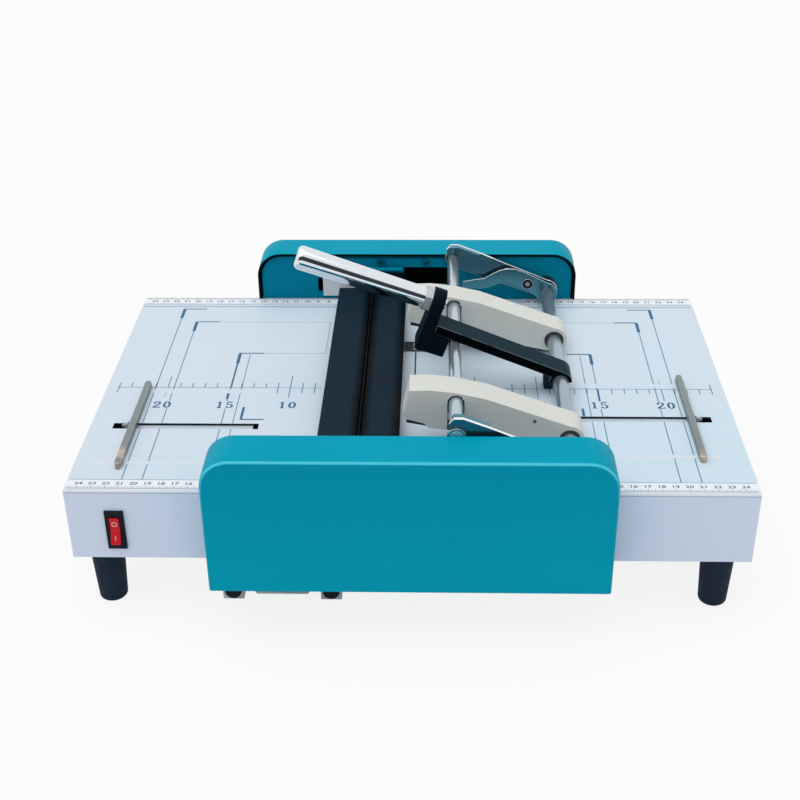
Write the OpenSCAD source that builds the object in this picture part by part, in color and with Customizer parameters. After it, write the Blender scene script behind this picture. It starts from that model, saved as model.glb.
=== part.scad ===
// Booklet stapler: a table with two stapling heads under one hand press,
// a powered fold below a bridge of two plates, sheet stops and end covers.
// X runs to the right, Y to the rear, Z up. The origin is on the floor under the middle.

/* [Table] */
// Width of the table
table_w = 500; // [490:1:520]
// Depth of the table
table_d = 315; // [312:1:320]
// Height of the table box
table_h = 60; // [59:0.5:64]
// Sheet thickness of the table box
sheet_t = 2; // [1.6:0.1:2.2]
// Width of the ruler strips
ruler_w = 13; // [10:0.5:14]

/* [Feet] */
// Height of the feet
foot_h = 50; // [50:0.5:60]
// Diameter of a foot at its top
foot_top_d = 26; // [24:0.5:30]
// Diameter of a foot at its bottom
foot_low_d = 21.5; // [20:0.5:23]

/* [Covers] */
// Width of the end covers
cover_w = 289; // [286:1:294]
// Depth of the end covers
cover_d = 29; // [29:0.5:33]
// Height of the covers above the table top
cover_rise = 45.5; // [43:0.5:50]
// Drop of the covers below the table box
cover_drop = 5; // [4:0.5:8]
// Radius of the upper cover corners
cover_round = 22; // [16:1:26]
// Radius of the outer cover edges
cover_edge = 2.5; // [2.5:0.5:6]

/* [Press] */
// Height of the pivot shaft above the table
pivot_up = 13; // [13:0.1:14]
// Diameter of the pivot shaft
pivot_d = 12; // [11:0.5:12]
// Diameter of the press shaft
press_d = 10; // [9:0.5:10]
// Width of the press arm
arm_w = 22; // [18:0.5:24]
// Thickness of the press arm
arm_t = 7.8; // [7.4:0.1:9]
// Thickness of the lever plates
lever_t = 2.5; // [2:0.1:3]

/* [Handle] */
// Length of the handle tube
handle_len = 104; // [80:1:120]
// Diameter of the handle at its free end
handle_end_d = 19; // [18:0.5:21]
// Diameter of the handle at the bracket
handle_root_d = 16.4; // [15:0.2:17]

/* [Heads] */
// Thickness of a stapling head
head_t = 24; // [23:0.5:26]
// Distance between the two heads
head_pitch = 158; // [150:1:164]
// Wall thickness of the head covers
head_wall = 2; // [1.8:0.1:2.2]

/* [Fold] */
// Width of one bridge plate
bridge_w = 29; // [26:0.5:30]
// Gap between the bridge plates
bridge_gap = 3.4; // [3:0.1:4]
// Height of the bridge above the table
bridge_up = 12.5; // [12:0.1:13]
// Diameter of the fold rollers
roller_d = 28; // [27:0.1:28.2]

/* [Stops] */
// Length of a stop bar
stop_len = 124; // [100:1:136]
// Width of a stop bar
stop_w = 5; // [4:0.5:8]
// Height of a stop bar
stop_h = 5; // [4:0.5:8]
// Length of a stop slot
slot_len = 113; // [110:1:116]
// Width of a stop slot
slot_w = 8; // [7:0.1:9]

/* [Switch] */
// Width of the switch frame
switch_w = 14; // [13:0.5:16]
// Height of the switch frame
switch_h = 33; // [32:0.5:36]

/* [Hidden] */
$fn = 64;

// clearances: running fit, sheet against sheet, loose opening
run = 0.05;
near = 0.1;
loose = 0.5;

// table
half_w = table_w / 2;
half_d = table_d / 2;
table_top = foot_h + table_h;
under_top = table_top - sheet_t;
foot_x = half_w - 20.5;
foot_y = half_d - 20;
foot_bore = 30;
ruler_t = 0.6;

// side frames and covers, both measured from the middle outward
frame_t = 3;
cover_wall = 2;
frame_in = half_d + near;
frame_out = frame_in + frame_t;
cover_in = frame_out + near;
cover_out = cover_in + cover_d;
cover_low = foot_h - cover_drop;
cover_top = table_top + cover_rise;
rim = cover_wall + 1.5;
lip_in = half_d - 2.5;
lip_low = table_top + ruler_t + 0.6;
lug_z = foot_h + 8;
lug_d = 16;
screw_d = 4;
head_d = 7.5;
head_h = 2.4;

// rear window, slit and the bracket above the window, from the staple line
window_from = -11;
window_to = 28;
window_low = 14;
window_high = 34;
slit_at = -89.8;
slit_w = 5;
slit_low = 7;
slit_high = 20.5;
hood_from = -69;
hood_to = 29;
hood_low = 32;
hood_high = 41;
lip_from = -47;
lip_to = -12;
lip_reach = 10;
hood_screws = [-32, 9];
hood_screw_up = 36.8;

// press
pivot_x = cover_w / 2 - 27;
staple_x = pivot_x - 117.5;
pivot_z = table_top + pivot_up;
press_x = staple_x + 33;
press_z = pivot_z + 31;
press_angle = atan2(press_z - pivot_z, pivot_x - press_x);
arm_slope = press_angle + 2.35;
handle_slope = 19.5;
arm_y = -10;
press_swing = 13.4;
head_share = 0.84;
head_swing = press_swing * head_share;
pivot_r = pivot_d / 2;
press_r = press_d / 2;
lever_y = half_d - 6 - lever_t;
link_y = lever_y - 6.5;
rivet_at = [-17.5, 9.9];
rivet_d = 6;
collar_t = 2.8;
collar_d = 14;
bracket_sheet = 1;
shaft_short = 3;
arm_low = press_r + run;
bracket_t = 10;
bracket_face = -19.7;
bracket_back = bracket_face - bracket_t;
bracket_foot = -11.5;
handle_up = 28.3;
lock_nut_t = 6;
stud_d = 8;
crank_reach = 16;
crank_y = frame_out + 3;
crank_t = 5;
pull_x = pivot_x + crank_reach;
pull_y = crank_y + crank_t + 5.2;
pull_pin_d = 4;
pull_low = pivot_z - 52;
pull_r = 3.6;
pull_wire = 1.2;
pull_turns = 14;

// heads
head_mid_y = -15.5;
front_y = head_mid_y - head_pitch / 2;
rear_y = head_mid_y + head_pitch / 2;
head_end_r = 11;
notch_r = press_r + 1.3;
channel_w = 15;
channel_wall = 1;
channel_low = -12.3;
channel_top = -4.5;
channel_front = -121;
channel_rear = -25;
staple_front = -115.6;
staple_len = 44.7;
pusher_len = 12;
bush_d = 16;
bush_out = 0.8;
ear_r = 8.5;
driver_w = 8;
driver_low = -2.6;
anvil_half = 9;
anvil_rim = 3;
anvil_up = 0.2;

// fold
fold_x = staple_x - 39.5;
gear_module = 1.5;
gear_teeth = 19;
pinion_teeth = 13;
gear_spread = gear_module * gear_teeth;
pinion_spread = gear_module * (gear_teeth + pinion_teeth) / 2;
gear_w = 8;
gear_y = frame_out + 2.5;
roller_z = table_top - 18;
left_roller_x = fold_x - gear_spread / 2;
right_roller_x = fold_x + gear_spread / 2;
idler_x = right_roller_x + gear_spread;
idler_pin_d = 8;
pinion_turn = -360 / gear_teeth;
pinion_x = idler_x + pinion_spread * cos(pinion_turn);
pinion_z = roller_z + pinion_spread * sin(pinion_turn);
motor_shaft_d = 6;
box_d = 42;
box_len = 20;
can_d = 36;
can_len = 50;
cap_d = 12;
cap_len = 4;
journal_d = 10;
knife_t = 1.5;
knife_low = table_top + 6.2;
knife_h = 7;
knife_drop = 15;
pull_coil_y = frame_out + 18.5;
coil_z = cover_low + cover_wall + loose;
coil_h = 24;
coil_top = coil_z + coil_h;
plunger_d = 9;
collar_z = coil_top + 21.5;
knife_spring_r = 6;
knife_wire = 1.2;
knife_turns = 4.5;
bridge_t = 2;
bridge_top = table_top + bridge_up;
bridge_rear = half_d - 3.2;
bridge_front = -half_d + 0.3;
bridge_edge = fold_x - bridge_gap / 2 - bridge_w;
ruler_in_left = bridge_edge - 1.5;
ruler_in_right = pivot_x - 20;

// stops
stop_x = half_w - 34.4;
left_stop_y = -68.5;
right_stop_y = -55.3;
slot_mid = half_w - 74.5;
slider_t = 4;
tab_reach = 9;
tab_w = 5;
tab_t = 2;
clamp_at = 5.8;
clamp_d = 3;
clamp_head_d = 5.5;
clamp_head_h = 1.8;

// switch and inlet
switch_x = -half_w + 35;
switch_z = table_top - 34.2;
rocker_w = switch_w - 6.8;
rocker_h = switch_h - 10.8;
rocker_tilt = 7;
rocker_pin_d = 3;
bezel_t = 2;
inlet_x = -half_w + 50;
inlet_z = foot_h + 30;

// a flat figure drawn in X and Z, standing from y0 to y1
module across(y0, y1) {
    translate([0, y1, 0]) rotate([90, 0, 0]) linear_extrude(y1 - y0) children();
}

// a round bar along Y
module bar_y(x, z, d, y0, y1) {
    translate([x, y1, z]) rotate([90, 0, 0]) cylinder(d = d, h = y1 - y0);
}

// a block given by its two corners
module block(low, high) {
    translate(low) cube(high - low);
}

// front and rear copies
module both_ends() {
    children();
    mirror([0, 1, 0]) children();
}

module at_pivot() {
    translate([pivot_x, 0, pivot_z]) children();
}

// head and press pieces are drawn as they lie when pressed down, then lifted to rest
module head_level() {
    at_pivot() rotate([0, head_swing, 0]) children();
}

module press_level() {
    at_pivot() rotate([0, press_swing, 0]) children();
}

// along the arm and along the handle, from the press shaft
module along_arm() {
    translate([press_x, arm_y, press_z]) rotate([0, arm_slope, 0]) children();
}

module along_handle() {
    translate([press_x, arm_y, press_z]) rotate([0, handle_slope, 0]) children();
}

// pan head screw: head up at z = 0, shank below, cross recess
module pan_screw(length) {
    difference() {
        union() {
            cylinder(d = head_d, h = head_h);
            translate([0, 0, -length]) cylinder(d = screw_d - 2 * near, h = length + near);
        }
        for (turn = [0, 90])
            rotate([0, 0, turn]) translate([-2, -0.5, head_h - 1.2]) cube([4, 1, 2]);
    }
}

// one vertical coil as a single tube
function coil_point(r, height, turns, a) =
    [r * cos(a), r * sin(a), height * a / (360 * turns)];
function coil_ring(r, wire, height, turns, a) = [
    for (s = [0:5])
        coil_point(r + wire / 2 * cos(s * 60), height, turns, a) + [0, 0, wire / 2 * sin(s * 60)]
];
module coil(r, wire, height, turns) {
    steps = round(turns * 8);
    rings = [for (i = [0:steps]) each coil_ring(r, wire, height, turns, i * 360 * turns / steps)];
    sides = [
        for (i = [0:steps - 1], s = [0:5]) each [
            [i * 6 + s, i * 6 + (s + 1) % 6, (i + 1) * 6 + (s + 1) % 6],
            [i * 6 + s, (i + 1) * 6 + (s + 1) % 6, (i + 1) * 6 + s]
        ]
    ];
    first = [for (s = [5:-1:0]) s];
    last = [for (s = [0:5]) steps * 6 + s];
    polyhedron(points = rings, faces = concat([first], sides, [last]), convexity = 8);
}

// involute gear outline with play
gear_play = 0.16;
press_side = 25;
function inv(a) = tan(a) * 180 / PI - a;
function tooth_half(n, r) =
    90 / n - gear_play / (gear_module * n / 2) * 180 / PI + inv(press_side)
    - inv(acos(min(1, gear_module * n / 2 * cos(press_side) / r)));
function polar(r, a) = [r * cos(a), r * sin(a)];
function gear_radii(n) = [
    gear_module * n / 2 - 1.25 * gear_module,
    gear_module * n / 2 * cos(press_side) + 0.05,
    gear_module * n / 2,
    gear_module * n / 2 + 0.4 * gear_module,
    gear_module * n / 2 + 0.85 * gear_module
];
function gear_outline(n) = [
    for (tooth = [0:n - 1])
        each concat(
            [for (i = [0:4]) polar(gear_radii(n)[i], tooth * 360 / n - tooth_half(n, gear_radii(n)[max(i, 1)]))],
            [for (i = [4:-1:0]) polar(gear_radii(n)[i], tooth * 360 / n + tooth_half(n, gear_radii(n)[max(i, 1)]))]
        )
];
module gear(n, x, z, turn, bore) {
    difference() {
        translate([x, 0, z]) across(gear_y, gear_y + gear_w) difference() {
            rotate(turn) polygon(gear_outline(n));
            circle(d = bore);
        }
    }
}

// table box, open below
module table() {
    color("whitesmoke") difference() {
        block([-half_w, -half_d, foot_h], [half_w, half_d, table_top]);
        block([-half_w + sheet_t, -half_d + sheet_t, foot_h - 1],
              [half_w - sheet_t, half_d - sheet_t, under_top]);
        // stop slots
        for (side = [-1, 1]) {
            y = side < 0 ? left_stop_y : right_stop_y;
            block([side * slot_mid - slot_len / 2, y - slot_w / 2, under_top - 1],
                  [side * slot_mid + slot_len / 2, y + slot_w / 2, table_top + 1]);
        }
        // knife slot in the top and through both walls
        block([fold_x - 3, -half_d + 8, under_top - 1], [fold_x + 3, half_d - 8, table_top + 1]);
        block([fold_x - knife_t, -half_d - 1, knife_low - knife_drop - 1],
              [fold_x + knife_t, half_d + 1, table_top + 1]);
        // anvil pockets
        for (y = [front_y, rear_y])
            block([staple_x - anvil_half - near, y - anvil_half - near, under_top - 1],
                  [staple_x + anvil_half + near, y + anvil_half + near, table_top + 1]);
        // roller journals, motor shaft
        for (x = [left_roller_x, right_roller_x])
            bar_y(x, roller_z, journal_d + 4, -half_d - 1, half_d + 1);
        bar_y(pinion_x, pinion_z, motor_shaft_d + 6, half_d - sheet_t - 1, half_d + 1);
        // switch and inlet
        block([switch_x - switch_w / 2 + 0.9, -half_d - 1, switch_z - switch_h / 2 + 1.9],
              [switch_x + switch_w / 2 - 0.9, -half_d + sheet_t + 1, switch_z + switch_h / 2 - 1.9]);
        block([inlet_x - 14, half_d - sheet_t - 1, inlet_z - 10.5], [inlet_x + 14, half_d + 1, inlet_z + 10.5]);
    }
}

// plate that closes the table box below, open where folded booklets leave
module base_plate() {
    color("gainsboro") difference() {
        block([-half_w + sheet_t + near, -half_d + sheet_t + near, foot_h],
              [half_w - sheet_t - near, half_d - sheet_t - near, foot_h + sheet_t]);
        block([fold_x - 36, -half_d + 22, foot_h - 1], [fold_x + 22, half_d - 22, foot_h + sheet_t + 1]);
        for (x = [-foot_x, foot_x], y = [-foot_y, foot_y])
            translate([x, y, foot_h - 1]) cylinder(d = screw_d, h = sheet_t + 2);
    }
}

// ruler strips left and right of the covers on both edges
module ruler_strips() {
    color("white") both_ends() {
        block([-half_w + loose, half_d - ruler_w - loose, table_top + 0.01],
              [ruler_in_left, half_d - loose, table_top + ruler_t]);
        block([ruler_in_right, half_d - ruler_w - loose, table_top + 0.01],
              [half_w - loose, half_d - loose, table_top + ruler_t]);
    }
}

// tapered rubber feet with a rounded lower edge and a deep screw bore
module feet() {
    edge = 3;
    color("dimgray") for (x = [-foot_x, foot_x], y = [-foot_y, foot_y])
        translate([x, y, 0]) difference() {
            union() {
                translate([0, 0, edge]) cylinder(d1 = foot_low_d, d2 = foot_top_d, h = foot_h - edge);
                cylinder(d = foot_low_d - 2 * edge, h = edge + 0.01);
                translate([0, 0, edge]) rotate_extrude()
                    translate([foot_low_d / 2 - edge, 0]) intersection() {
                        circle(r = edge);
                        translate([-edge / 2, -edge]) square([2 * edge, edge]);
                    }
            }
            translate([0, 0, -1]) cylinder(d = head_d + 2, h = foot_bore + 1);
            translate([0, 0, foot_bore - 1]) cylinder(d = screw_d, h = foot_h);
        }
}

// all pan head screws: covers, feet, rear bracket, bridge
module pan_screws() {
    color("silver") {
        for (side = [-1, 1]) both_ends()
            translate([side * (cover_w / 2 + near), cover_in + lug_d / 2, lug_z])
                rotate([0, side * 90, 0]) pan_screw(7);
        for (x = [-foot_x, foot_x], y = [-foot_y, foot_y])
            translate([x, y, foot_bore]) rotate([180, 0, 0]) pan_screw(foot_h - foot_bore + sheet_t + 6);
        for (x = hood_screws)
            translate([staple_x + x, frame_in - bracket_sheet - 2 * near, table_top + hood_screw_up])
                rotate([90, 0, 0]) pan_screw(6);
        for (x = [fold_x - 16.2, fold_x + 16.2])
            translate([x, bridge_front + 8, bridge_top + 2 + 2 * near]) pan_screw(3.8);
    }
}

// side frame with its lugs, drawn for the rear and mirrored for the front
module frame_plate() {
    reach = cover_w / 2 - rim;
    low = cover_low + rim;
    high = cover_top - rim;
    bend = cover_round - rim;
    difference() {
        union() {
            block([-reach, frame_in, low], [reach, frame_out, high - bend]);
            block([-reach + bend, frame_in, high - bend], [reach - bend, frame_out, high]);
            for (side = [-1, 1]) {
                bar_y(side * (reach - bend), high - bend, 2 * bend, frame_in, frame_out);
                // lug for the cover screw
                translate([side * (cover_w / 2 - cover_wall - near - 2), 0, 0])
                    block([-2, frame_out - 1, lug_z - 8], [2, frame_out + lug_d, lug_z + 8]);
            }
            // anchor of the return spring
            bar_y(pull_x, pull_low, pull_pin_d, frame_out - 1, pull_y + 4);
        }
        bar_y(pivot_x, pivot_z, pivot_d + 6, frame_in - 1, frame_out + 1);
        for (x = [left_roller_x, right_roller_x])
            bar_y(x, roller_z, journal_d + 4, frame_in - 1, frame_out + 1);
        block([fold_x - knife_t, frame_in - 1, knife_low - knife_drop - 1],
              [fold_x + knife_t, frame_out + 1, knife_low + knife_h + 1]);
        for (side = [-1, 1])
            translate([side * (cover_w / 2), frame_out + lug_d / 2, lug_z]) rotate([0, side * -90, 0])
                cylinder(d = screw_d, h = 12);
    }
}

module front_frame() {
    color("teal") mirror([0, 1, 0]) frame_plate();
}

// the rear frame also has a window, a slit, the motor opening and the idler pin
module rear_frame() {
    color("teal") union() {
        difference() {
            frame_plate();
            block([staple_x + window_from, frame_in - 1, table_top + window_low],
                  [staple_x + window_to, frame_out + 1, table_top + window_high]);
            block([staple_x + slit_at, frame_in - 1, table_top + slit_low],
                  [staple_x + slit_at + slit_w, frame_out + 1, table_top + slit_high]);
            bar_y(pinion_x, pinion_z, motor_shaft_d + 6, frame_in - 1, frame_out + 1);
            for (x = hood_screws)
                bar_y(staple_x + x, table_top + hood_screw_up, screw_d, frame_in - 1, frame_out + 1);
        }
        bar_y(idler_x, roller_z, idler_pin_d, frame_out - 1, gear_y + gear_w + 2);
    }
}

// cross section of a cover wall with its rounded outer edge: x = outer face, y = depth from start
module wall_section(start) {
    translate([-cover_wall, start]) square([cover_wall, cover_out - cover_edge - start]);
    translate([-cover_edge, cover_out - cover_edge]) intersection() {
        difference() {
            circle(r = cover_edge);
            circle(r = cover_edge - cover_wall);
        }
        square(cover_edge);
    }
}

// end cover, a shell open to the frame, drawn for the rear
module cover_shell() {
    reach = cover_w / 2;
    bend_z = cover_top - cover_round;
    bend_x = reach - cover_round;
    face_r = cover_round - cover_edge;
    difference() {
        union() {
            // outer face
            block([-reach + cover_edge, cover_out - cover_wall, cover_low],
                  [reach - cover_edge, cover_out, bend_z]);
            block([-bend_x, cover_out - cover_wall, bend_z], [bend_x, cover_out, cover_top - cover_edge]);
            for (side = [-1, 1])
                bar_y(side * bend_x, bend_z, 2 * face_r, cover_out - cover_wall, cover_out);
            // side walls, round corners, top wall; above the table the walls reach in over it
            for (part = [[cover_low, lip_low, cover_in], [lip_low, bend_z, lip_in]])
                translate([0, 0, part[0]]) linear_extrude(part[1] - part[0]) {
                    translate([reach, 0]) wall_section(part[2]);
                    mirror([1, 0]) translate([reach, 0]) wall_section(part[2]);
                }
            for (side = [0, 1])
                mirror([side, 0, 0]) translate([bend_x, 0, bend_z]) rotate([-90, 0, 0])
                    rotate([0, 0, -90]) rotate_extrude(angle = 90)
                        translate([cover_round, 0]) wall_section(lip_in);
            translate([-bend_x, 0, cover_top]) rotate([90, 0, 90]) linear_extrude(2 * bend_x)
                rotate(90) wall_section_turned();
            // bottom
            block([-reach + cover_wall, cover_in, cover_low],
                  [reach - cover_wall, cover_out - cover_wall, cover_low + cover_wall]);
        }
        for (side = [-1, 1])
            translate([side * (reach + 1), cover_in + lug_d / 2, lug_z]) rotate([0, side * -90, 0])
                cylinder(d = screw_d, h = cover_wall + 2);
    }
}

// the same section for the top wall, with its depth across
module wall_section_turned() {
    mirror([0, 1]) wall_section(lip_in);
}

module front_cover() {
    color("darkcyan") mirror([0, 1, 0]) cover_shell();
}

module rear_cover() {
    color("darkcyan") cover_shell();
}

// bent bracket above the window of the rear frame
module window_bracket() {
    back = frame_in - near;
    color("teal") difference() {
        union() {
            block([staple_x + hood_from, back - bracket_sheet, table_top + hood_low],
                  [staple_x + hood_to, back, table_top + hood_high]);
            block([staple_x + lip_from, back - lip_reach, table_top + hood_low],
                  [staple_x + lip_to, back, table_top + hood_low + bracket_sheet]);
        }
        for (x = hood_screws)
            bar_y(staple_x + x, table_top + hood_screw_up, screw_d, back - 3, back + 1);
    }
}

// supports of the bridge: two angles on the front frame, one bent piece on the rear frame
module bridge_brackets() {
    color("gainsboro") {
        for (x = [fold_x - 16.2, fold_x + 16.2]) difference() {
            union() {
                block([x - 8, bridge_front, bridge_top + near], [x + 8, bridge_front + 2, bridge_top + 13]);
                block([x - 8, bridge_front, bridge_top + near], [x + 8, bridge_front + 14, bridge_top + 2 + near]);
            }
            translate([x, bridge_front + 8, bridge_top - 1]) cylinder(d = screw_d, h = 4);
        }
        block([bridge_edge - 15, half_d - 2.2, table_top + 4],
              [bridge_edge + 14, half_d - 0.2, table_top + 23]);
        block([bridge_edge + 1, bridge_rear - 8, table_top + 0.01],
              [bridge_edge + 14, half_d - 1.2, bridge_top - bridge_t - near]);
    }
}

// bridge plate with a flange down along the knife gap; the edge at x = 0 faces the gap
module bridge_plate() {
    block([0, bridge_front, bridge_top - bridge_t], [bridge_w, bridge_rear, bridge_top]);
    block([0, bridge_front + 16, knife_low], [2, bridge_rear - 10, bridge_top - bridge_t + 0.01]);
}

module bridge_left() {
    color("darkslategray") difference() {
        translate([fold_x - bridge_gap / 2, 0, 0]) mirror([1, 0, 0]) bridge_plate();
        translate([fold_x - 16.2, bridge_front + 8, bridge_top - 3]) cylinder(d = screw_d, h = 4);
    }
}

// the right plate ends in a tab that stands up under the rear bracket
module bridge_right() {
    start = fold_x + bridge_gap / 2;
    color("darkslategray") difference() {
        union() {
            translate([start, 0, 0]) bridge_plate();
            block([start + 5, bridge_rear - 1, bridge_top - bridge_t],
                  [start + bridge_w, half_d - 2.2, bridge_top]);
            block([start + 5, half_d - 4.2, bridge_top - bridge_t],
                  [start + bridge_w, half_d - 2.2, table_top + 27]);
        }
        translate([fold_x + 16.2, bridge_front + 8, bridge_top - 3]) cylinder(d = screw_d, h = 4);
    }
}

// anvils in the table with two clinch hollows each
module anvils() {
    color("lightsteelblue") for (y = [front_y, rear_y]) difference() {
        union() {
            block([staple_x - anvil_half, y - anvil_half, under_top - anvil_rim],
                  [staple_x + anvil_half, y + anvil_half, table_top + anvil_up]);
            block([staple_x - anvil_half - 3, y - anvil_half - 4, under_top - anvil_rim],
                  [staple_x + anvil_half + 4, y + anvil_half + 4, under_top - near]);
        }
        for (leg = [-3.4, 3.4])
            translate([staple_x - 0.7, y + leg, table_top + 4.4]) rotate([0, 90, 0]) cylinder(r = 5, h = 1.4);
    }
}

// rubber buffer on the table under the arm
module arm_buffer() {
    color("dimgray") block([pivot_x - 12.2, arm_y + 1.5, table_top + 0.01],
                           [pivot_x - 4.7, arm_y + 13.5, table_top + 8.5]);
}

// flanged bushes of the pivot shaft and of the fold rollers
module frame_bushes() {
    color("peru") both_ends() {
        difference() {
            union() {
                bar_y(pivot_x, pivot_z, pivot_d + 6 - 2 * run, frame_in - 1, frame_out + 1);
                bar_y(pivot_x, pivot_z, pivot_d + 9, frame_in - 1.6, frame_in - near);
            }
            bar_y(pivot_x, pivot_z, pivot_d + 2 * run, frame_in - 3, frame_out + 3);
        }
        for (x = [left_roller_x, right_roller_x]) difference() {
            union() {
                bar_y(x, roller_z, journal_d + 4 - 2 * run, frame_in, frame_out + 1);
                bar_y(x, roller_z, journal_d + 7, frame_out + near, frame_out + 1.6);
            }
            bar_y(x, roller_z, journal_d + 2 * run, frame_in - 3, frame_out + 3);
        }
    }
}

// switch housing with its frame and pocket
module switch_frame() {
    color("black") difference() {
        union() {
            block([switch_x - switch_w / 2, -half_d - bezel_t, switch_z - switch_h / 2],
                  [switch_x + switch_w / 2, -half_d - near, switch_z + switch_h / 2]);
            block([switch_x - switch_w / 2 + 1, -half_d - 1, switch_z - switch_h / 2 + 2],
                  [switch_x + switch_w / 2 - 1, -half_d + 18, switch_z + switch_h / 2 - 2]);
        }
        block([switch_x - rocker_w / 2 - 0.3, -half_d - bezel_t - 1, switch_z - rocker_h / 2 - 0.7],
              [switch_x + rocker_w / 2 + 0.3, -half_d + 10, switch_z + rocker_h / 2 + 0.7]);
        translate([switch_x, -half_d, switch_z]) rotate([0, 90, 0])
            cylinder(d = rocker_pin_d + 2 * run, h = rocker_w + 3, center = true);
    }
}

// rocker with a hollow front, shown switched off
module switch_rocker() {
    tip = rocker_h / 2;
    color("red") translate([switch_x, -half_d, switch_z]) rotate([-rocker_tilt, 0, 0]) {
        translate([-rocker_w / 2, 0, 0]) rotate([90, 0, 90]) linear_extrude(rocker_w)
            polygon([[-4.6, tip], [-2.6, 0], [-4.6, -tip], [3, -tip + 1.5], [5, 0], [3, tip - 1.5]]);
        rotate([0, 90, 0]) cylinder(d = rocker_pin_d, h = rocker_w + 2.4, center = true);
    }
}

// appliance inlet with three pins, at the back
module power_inlet() {
    color("black") {
        difference() {
            union() {
                block([inlet_x - 17, half_d + near, inlet_z - 13.5], [inlet_x + 17, half_d + 2.5, inlet_z + 13.5]);
                block([inlet_x - 13.8, half_d - 20, inlet_z - 10.2], [inlet_x + 13.8, half_d + 1, inlet_z + 10.2]);
            }
            block([inlet_x - 11.5, half_d - 15, inlet_z - 8], [inlet_x + 11.5, half_d + 3, inlet_z + 8]);
        }
        for (pin = [[-7, -2], [0, 2], [7, -2]])
            translate([inlet_x + pin[0], 0, inlet_z + pin[1]])
                block([-1, half_d - 16, -2], [1, half_d - 1, 2]);
    }
}

// geared motor on the rear wall
module motor() {
    face = half_d - sheet_t - near;
    color("gray") difference() {
        union() {
            bar_y(pinion_x, pinion_z, box_d, face - box_len, face);
            bar_y(pinion_x, pinion_z, can_d, face - box_len - can_len, face - box_len + 1);
            bar_y(pinion_x, pinion_z, cap_d, face - box_len - can_len - cap_len, face - box_len - can_len + 1);
        }
        bar_y(pinion_x, pinion_z, motor_shaft_d + 2 * run, face - 15, face + 1);
    }
}

// pull solenoids in both covers
module solenoids() {
    color("gray") both_ends() difference() {
        block([fold_x - 13, frame_out + near, coil_z], [fold_x + 13, pull_coil_y + 8, coil_top]);
        translate([fold_x, pull_coil_y, coil_z + 2]) cylinder(d = plunger_d + 2 * run, h = coil_h);
    }
}

// sheet that leads folded booklets away below the table, resting on two square rails
rail_left = fold_x - 96.5;
rail_right = fold_x - 21.5;
rail_w = 16;
rail_bore = rail_w - 3;
module delivery_chute() {
    t = 1.2;
    top = rail_w + near;
    bend = rail_w / 2 + 1;
    line = [
        [rail_left - bend, top], [rail_left + bend, top], [rail_left + bend + 9, 4], [rail_right - bend - 9, 4],
        [rail_right - bend, top], [rail_right + 6, top], [fold_x - 2, 24], [fold_x + 11, 36],
        [fold_x + 18.5, foot_h - t - near], [fold_x + 34, foot_h - t - near]
    ];
    color("lightgray") across(-half_d + 16, half_d - 16)
        polygon(concat(line, [for (i = [len(line) - 1:-1:0]) line[i] + [0, t]]));
}

module chute_rails() {
    color("silver") for (x = [rail_left, rail_right]) difference() {
        block([x - rail_w / 2, -half_d + 15, 0], [x + rail_w / 2, half_d - 15, rail_w]);
        bar_y(x, rail_w / 2, rail_bore, -half_d + 14, half_d - 14);
    }
}

module rail_plugs() {
    color("dimgray") for (x = [rail_left, rail_right]) both_ends() {
        bar_y(x, rail_w / 2, rail_bore - 2 * near, half_d - 27, half_d - 15);
        bar_y(x, rail_w / 2, rail_bore - 0.6, half_d - 15.1, half_d - 13.4);
    }
}

module pivot_shaft() {
    color("silver") bar_y(pivot_x, pivot_z, pivot_d, -crank_y - crank_t - 1, crank_y + crank_t + 1);
}

module press_shaft() {
    color("silver") bar_y(press_x, press_z, press_d, -half_d + shaft_short, half_d - shaft_short);
}

// flat arm lying on the press shaft and hooked over the pivot shaft
module press_arm() {
    reach = norm([pivot_x - press_x, press_z - pivot_z]);
    hook_r = arm_low + arm_t - reach * sin(arm_slope - press_angle);
    color("darkslategray") difference() {
        union() {
            along_arm() block([bracket_face - 4, -arm_w / 2, arm_low], [reach, arm_w / 2, arm_low + arm_t]);
            bar_y(pivot_x, pivot_z, 2 * hook_r, arm_y - arm_w / 2, arm_y + arm_w / 2);
        }
        bar_y(pivot_x, pivot_z, pivot_d + 2 * run, arm_y - arm_w, arm_y + arm_w);
        // open below the pivot shaft and flush with the bracket
        block([pivot_x - 20, arm_y - arm_w, pivot_z - 20], [pivot_x + 20, arm_y + arm_w, pivot_z - 0.5]);
        along_handle() block([bracket_face - 20, -arm_w, -20], [bracket_face + near, arm_w, 40]);
    }
}

// upright bracket on the end of the arm, round at the top
module handle_bracket() {
    color("darkslategray") along_handle() difference() {
        union() {
            block([bracket_back, -arm_w / 2, bracket_foot], [bracket_face, arm_w / 2, handle_up]);
            translate([bracket_back, 0, handle_up]) rotate([0, 90, 0]) cylinder(d = arm_w, h = bracket_t);
            block([bracket_face - 1, -arm_w / 2, bracket_foot],
                  [-press_r - 1, arm_w / 2, arm_low - 1.4]);
        }
        translate([bracket_back - 1, 0, handle_up]) rotate([0, 90, 0])
            cylinder(d = stud_d + 2 * run, h = bracket_t + 2);
    }
}

// tapered handle with a rounded end and a stud through the bracket
module handle() {
    edge = 4;
    start = -bracket_back + lock_nut_t + near;
    color("silver") along_handle() translate([0, 0, handle_up]) rotate([0, -90, 0]) {
        translate([0, 0, start])
            cylinder(d1 = handle_root_d, d2 = handle_end_d, h = handle_len - edge);
        translate([0, 0, start + handle_len - edge]) rotate_extrude() {
            square([handle_end_d / 2 - edge, edge]);
            translate([handle_end_d / 2 - edge, 0]) intersection() {
                circle(r = edge);
                square(edge);
            }
        }
        translate([0, 0, -bracket_face - 2]) cylinder(d = stud_d, h = bracket_t + lock_nut_t + 3);
    }
}

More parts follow.
